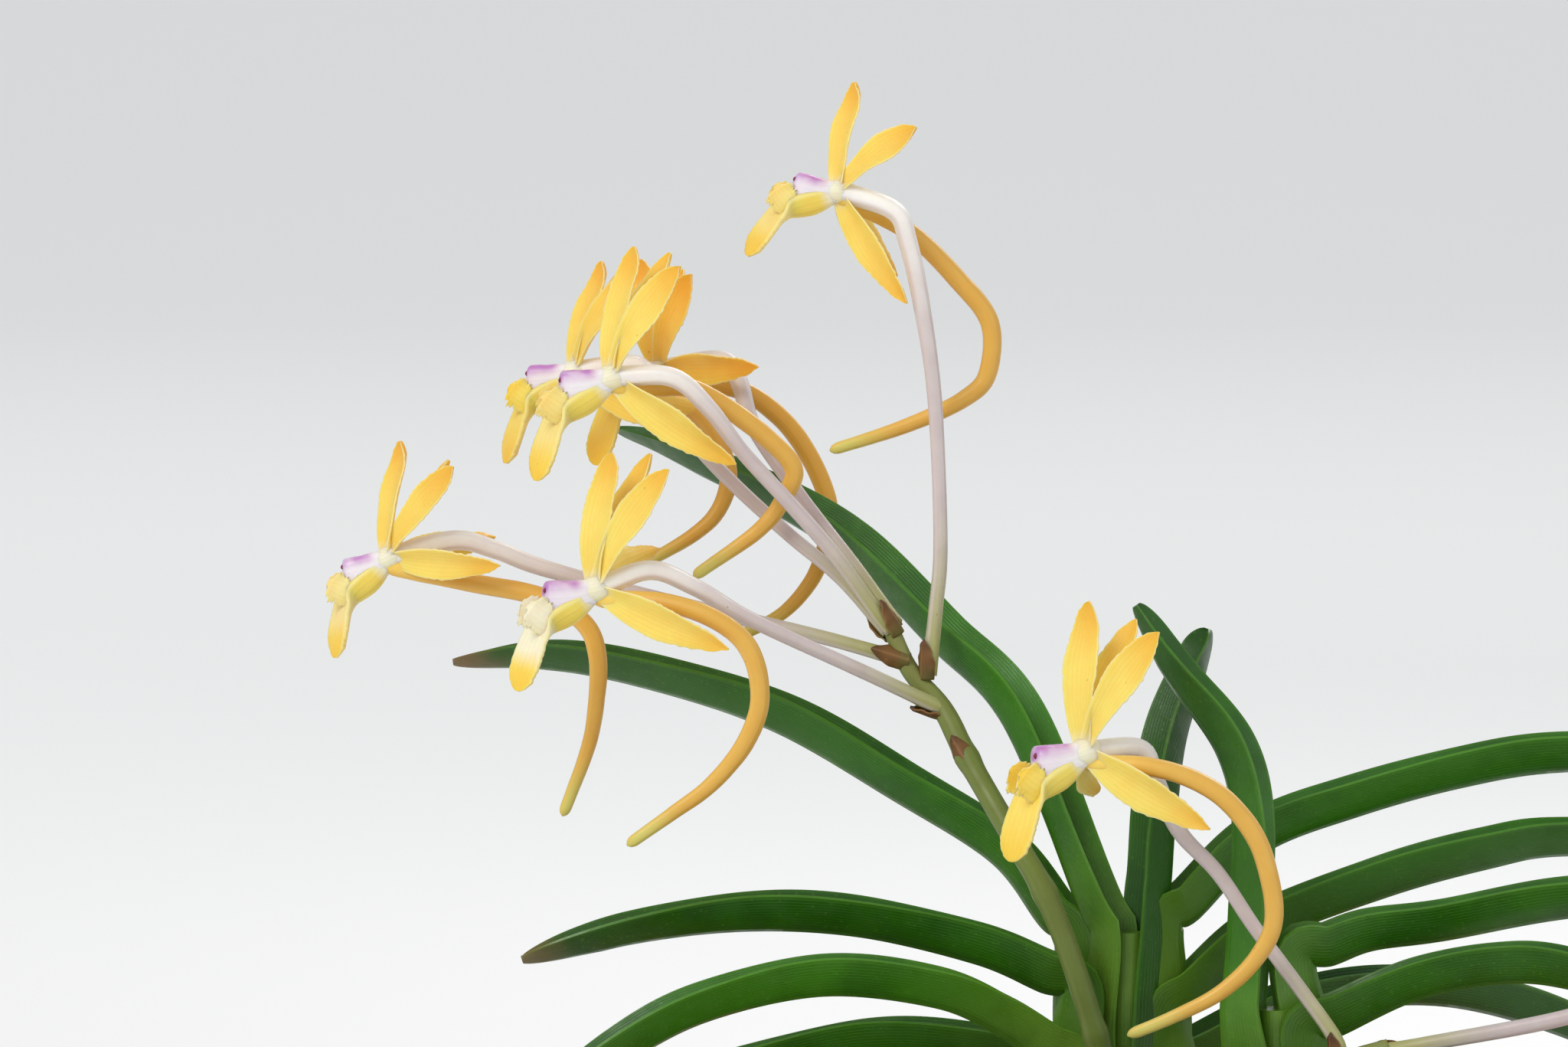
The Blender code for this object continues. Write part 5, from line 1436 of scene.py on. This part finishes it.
@dataclass
class Moss:
    """The mound of moss that fills the pot: a bed, and leafy sprigs all over its top."""

    pot: Pot
    top: float = 82.0
    edge: float = 74.5
    bump: float = 0.7
    bed_sides: int = 96
    bed_rings: int = 30
    sprigs: int = 1150
    leaflets: int = 9

    def level(self, x: float, y: float) -> float:
        """The height of the bed at a place."""
        reach = math.hypot(x, y) / self.pot.inner_radius(self.pot.height)
        mound = self.top - (self.top - self.edge - 1.5) * reach ** 2
        bumps = math.sin(x * 0.53 + 1.3) * math.cos(y * 0.47 - 0.6) + 0.6 * math.sin(x * 0.91 - y * 0.83)
        return mound + self.bump * bumps + 0.5 * noise.noise(Vector((x * 0.6, y * 0.6, 3.0)))

    def build_bed(self, palette: Palette) -> bpy.types.Object:
        """Makes the bed that the sprigs stand in."""
        skin = Skin("moss_bed")
        turns = [2 * math.pi * side / self.bed_sides for side in range(self.bed_sides)]
        rows = []
        for level in (self.pot.floor + 0.3, self.edge * 0.5, self.edge - 2.0):
            reach = self.pot.inner_radius(level) - 0.3
            rows.append([skin.add(polar(reach, turn, level), 0.3, 0.0, 0.5) for turn in turns])
        outer = self.pot.inner_radius(self.edge) - 0.6
        for ring in range(self.bed_rings):
            reach = outer * (1 - ring / self.bed_rings) + 0.2
            row = []
            for turn in turns:
                x, y = reach * math.cos(turn), reach * math.sin(turn)
                row.append(skin.add(Vector((x, y, self.level(x, y) - 0.4)), 0.3, 0.0, 0.5))
            rows.append(row)
        skin.join_rows(rows)
        skin.cap(rows[0], Vector((0.0, 0.0, self.pot.floor + 0.3)), 0.3, 0.5, 0, flip=True)
        skin.cap(rows[-1], Vector((0.0, 0.0, self.level(0.0, 0.0) - 0.4)), 0.3, 0.5, 0)
        return skin.build(palette.of("moss_bed"), Slot.MOSS, "moss")

    def build_sprigs(self, palette: Palette) -> bpy.types.Object:
        """Makes the leafy sprigs."""
        skin = Skin("moss_sprigs")
        draw = random.Random(SEED)
        outer = self.pot.inner_radius(self.edge) - 1.0
        for _ in range(self.sprigs):
            reach = outer * math.sqrt(draw.random())
            turn = draw.uniform(0.0, 2 * math.pi)
            x, y = reach * math.cos(turn), reach * math.sin(turn)
            heading = draw.uniform(0.0, 2 * math.pi)
            lean = draw.uniform(0.25, 1.15)
            level = math.cos(lean)
            way = Vector((math.cos(heading) * level, math.sin(heading) * level, math.sin(lean)))
            if reach > outer * 0.9:
                way = (way - Vector((x, y, 0.0)).normalized() * 0.8).normalized()
            length = draw.uniform(2.6, 5.2)
            start = Vector((x, y, self.level(x, y) - 1.0))
            bend = Vector((draw.uniform(-1, 1), draw.uniform(-1, 1), -0.6)) * 0.22
            self.add_sprig(skin, draw, start, way, bend, length)
        return skin.build(palette.of("moss_sprigs"), Slot.MOSS, "moss")

    def add_sprig(
        self, skin: Skin, draw: random.Random, start: Vector, way: Vector, bend: Vector, length: float,
    ) -> None:
        """Adds one sprig: a thin stem ringed with pointed leaflets, denser at its end."""
        tone = draw.random()
        rows = []
        spots = []
        for step in range(4):
            share = step / 3
            spot = start + way * length * share + bend * length * share ** 2
            across = way.orthogonal().normalized()
            other = way.cross(across).normalized()
            thick = 0.2 * (1 - 0.5 * share)
            rows.append([
                skin.add(spot + (across * math.cos(turn) + other * math.sin(turn)) * thick, share, 0.0, tone)
                for turn in (0.0, 2.094, 4.189)
            ])
            spots.append(spot)
        skin.join_rows(rows)
        skin.face(*rows[0])
        skin.face(*rows[-1])
        for index in range(self.leaflets):
            share = 0.25 + 0.75 * (index / (self.leaflets - 1)) ** 0.7
            spot = start + way * length * share + bend * length * share ** 2
            turn = index * 2.4 + tone * 6
            across = way.orthogonal().normalized()
            out = across * math.cos(turn) + way.cross(across).normalized() * math.sin(turn)
            ahead = (out * (1.1 - 0.5 * share) + way * 0.7 + Vector((0.0, 0.0, 0.2))).normalized()
            reach = draw.uniform(1.0, 1.7) * (1.15 - 0.35 * share)
            self.add_leaflet(skin, spot, ahead, ahead.cross(out).normalized(), reach, tone)

    @staticmethod
    def add_leaflet(skin: Skin, root: Vector, ahead: Vector, side: Vector, reach: float, tone: float) -> None:
        """Adds one pointed leaflet, a small spindle with three sides."""
        up = ahead.cross(side)
        base = skin.add(root, 0.5, 0.0, tone)
        tip = skin.add(root + ahead * reach, 1.0, 0.0, tone)
        belly = root + ahead * reach * 0.42
        ring = [
            skin.add(belly + side * 0.26, 0.75, 1.0, tone),
            skin.add(belly + up * 0.1, 0.75, 0.0, tone),
            skin.add(belly - side * 0.26, 0.75, -1.0, tone),
        ]
        for here in range(3):
            beside = (here + 1) % 3
            skin.face(ring[here], ring[beside], tip)
            skin.face(ring[beside], ring[here], base)

    def build(self, palette: Palette) -> None:
        """Makes the bed and its sprigs."""
        self.build_bed(palette)
        self.build_sprigs(palette)


@dataclass
class Studio:
    """A pale floor that sweeps up behind, soft lights, and a camera at the photo's angle."""

    pixels_per_mm: float = 15.5
    image: tuple[int, int] = (2048, 1367)
    foot_pixel: tuple[float, float] = (1475.0, 1560.0)
    foot_height: float = 80.0
    plane_y: float = -4.0
    distance: float = 900.0
    elevation: float = 4.0
    sensor: float = 36.0
    sheet_front: float = -6.0
    sheet_level_to: float = 3.0
    sheet_bend: float = 3.0
    sheet_height: float = 7.0
    sheet_half_width: float = 7.0

    def build_floor(self) -> None:
        """Makes the floor and backdrop in one curved sheet."""
        stuff = Material("studio_paper", Roughness=0.9, Specular_IOR_Level=0.2)
        stuff.set(Base_Color=(0.86, 0.86, 0.85, 1.0))
        back, bend = self.sheet_level_to, self.sheet_bend
        turns = (math.radians(angle) for angle in range(3, 91, 3))
        section = [(self.sheet_front, 0.0), (back, 0.0)]
        section += [(back + bend * math.sin(turn), bend - bend * math.cos(turn)) for turn in turns]
        section.append((back + bend, self.sheet_height))
        points = [(x, y, z) for y, z in section for x in (-self.sheet_half_width, self.sheet_half_width)]
        faces = [(2 * i, 2 * i + 1, 2 * i + 3, 2 * i + 2) for i in range(len(section) - 1)]
        mesh = bpy.data.meshes.new("studio_floor")
        mesh.from_pydata(points, [], faces)
        mesh.materials.append(stuff.made)
        mesh.shade_smooth()
        floor = bpy.data.objects.new("studio_floor", mesh)
        bpy.context.scene.collection.objects.link(floor)

    def build_light(self, name: str, place: Knots, size: float, watts: float, colour: tuple) -> None:
        """Hangs one square soft light.

        Args:
            name: the light's name.
            place: where it hangs and what it points at, in metres.
            size: the length of its side in metres.
            watts: its power.
            colour: its colour.
        """
        start, aim = (Vector(point) for point in place)
        data = bpy.data.lights.new(name, "AREA")
        data.size = size
        data.energy = watts
        data.color = colour
        light = bpy.data.objects.new(name, data)
        light.location = start
        light.rotation_euler = (aim - start).to_track_quat("-Z", "Y").to_euler()
        light.visible_camera = False
        bpy.context.scene.collection.objects.link(light)

    def build_lights(self) -> None:
        """Hangs the key, fill and back lights, and one for the backdrop, in a pale surrounding."""
        middle = (-0.015, 0.0, 0.12)
        self.build_light("key", ((-0.55, -0.75, 0.85), middle), 0.55, 6.4, (1.0, 0.985, 0.96))
        self.build_light("fill", ((0.9, -0.7, 0.35), middle), 0.8, 1.6, (0.96, 0.98, 1.0))
        self.build_light("back", ((0.35, 0.8, 0.75), middle), 0.5, 3.6, (1.0, 0.99, 0.97))
        self.build_light("paper", ((0.0, 1.2, 2.4), (0.0, 5.4, 0.9)), 2.4, 40.0, (1.0, 1.0, 1.0))
        world = bpy.data.worlds.new("studio_air")
        world.use_nodes = True
        world.node_tree.nodes["Background"].inputs["Color"].default_value = (0.9, 0.92, 0.95, 1.0)
        world.node_tree.nodes["Background"].inputs["Strength"].default_value = 0.61
        bpy.context.scene.world = world
        bpy.context.scene.view_settings.view_transform = "Standard"

    def build_camera(self) -> None:
        """Places the camera so that the picture is framed as the photo is."""
        centre = (self.image[0] / 2, self.image[1] / 2)
        x = (centre[0] - self.foot_pixel[0]) / self.pixels_per_mm
        z = self.foot_height + (self.foot_pixel[1] - centre[1]) / self.pixels_per_mm
        aim = Vector((x, self.plane_y, z)) * MM
        rise = math.radians(self.elevation)
        data = bpy.data.cameras.new("camera")
        data.sensor_width = self.sensor
        data.lens = self.sensor * self.distance / (self.image[0] / self.pixels_per_mm)
        camera = bpy.data.objects.new("camera", data)
        camera.location = aim + Vector((0.0, -math.cos(rise), math.sin(rise))) * self.distance * MM
        camera.rotation_euler = (aim - camera.location).to_track_quat("-Z", "Y").to_euler()
        bpy.context.scene.collection.objects.link(camera)
        bpy.context.scene.camera = camera

    def build(self) -> None:
        """Makes the whole studio."""
        self.build_camera()
        self.build_lights()
        self.build_floor()


MAIN_ROOTS: tuple[Knots, ...] = (
    ((-4.2, 1.6, 83.6), (-9.0, 3.8, 84.6), (-15.0, 7.2, 82.6), (-21.0, 11.4, 79.2), (-25.0, 14.6, 73.0)),
    ((-3.8, -2.4, 83.6), (-8.0, -7.2, 84.6), (-12.4, -12.4, 82.4), (-15.8, -17.4, 79.4),
     (-17.4, -21.0, 73.0)),
    ((0.6, 4.4, 83.6), (2.6, 9.0, 84.8), (3.4, 15.6, 82.8), (5.2, 23.6, 80.6), (10.4, 31.2, 79.4),
     (15.8, 37.2, 79.9), (19.4, 42.0, 76.4)),
    ((3.8, 2.4, 83.6), (9.0, 7.0, 84.0), (15.0, 11.0, 81.6), (21.0, 14.0, 76.0)),
)
SIDE_ROOTS: tuple[Knots, ...] = (
    ((12.0, -11.4, 83.6), (9.0, -16.0, 84.4), (4.6, -21.6, 81.6), (0.6, -26.0, 78.4), (-1.8, -28.6, 72.0)),
    ((16.6, -7.8, 83.6), (20.6, -8.6, 84.2), (26.0, -7.8, 81.0), (30.4, -6.2, 74.6)),
    ((15.2, -10.4, 83.6), (18.0, -15.6, 84.2), (20.6, -22.4, 81.4), (23.8, -28.4, 79.6), (27.2, -33.0, 80.0),
     (30.0, -37.4, 76.0)),
)
LEFT_PEDUNCLE: Knots = (
    (-0.6, -2.6, 83.0), (-1.2, -4.4, 86.8), (-2.4, -5.4, 92.0), (-4.8, -5.7, 99.7), (-7.0, -5.5, 105.2),
    (-9.4, -4.4, 109.4), (-13.4, -0.5, 116.1), (-15.6, 2.0, 120.3), (-18.4, 2.6, 123.6), (-20.0, 2.8, 127.1),
)
RIGHT_PEDUNCLE: Knots = (
    (11.8, -9.8, 83.4), (12.0, -11.5, 86.6), (13.0, -13.2, 88.8), (15.5, -14.2, 91.0), (18.2, -14.0, 92.2),
    (21.5, -14.0, 93.4),
)


def main() -> None:
    """Builds the studio, then the pot, the moss and every part of the plant."""
    logging.basicConfig(level=logging.INFO, format="%(name)s: %(message)s")
    Studio().build()
    palette = Palette()
    pot = Pot()
    pot.build(palette)
    Moss(pot).build(palette)
    Roots("roots_main", (0.0, 0.0), MAIN_ROOTS).build(palette)
    Roots("roots_side", (12.5, -7.0), SIDE_ROOTS).build(palette)
    Fan("fan_main", (0.0, 0.0), MAIN_FAN_LEAVES).build(palette)
    Fan("fan_side", (12.5, -7.0), SIDE_FAN_LEAVES).build(palette)
    Spray("stem_left_spray", LEFT_PEDUNCLE, LEFT_SPRAY).build(palette)
    Spray("stem_right_spray", RIGHT_PEDUNCLE, RIGHT_SPRAY).build(palette)
    for name, spec in BLOOMS.items():
        Bloom(name, spec).build(palette)


if __name__ == "__main__":
    main()
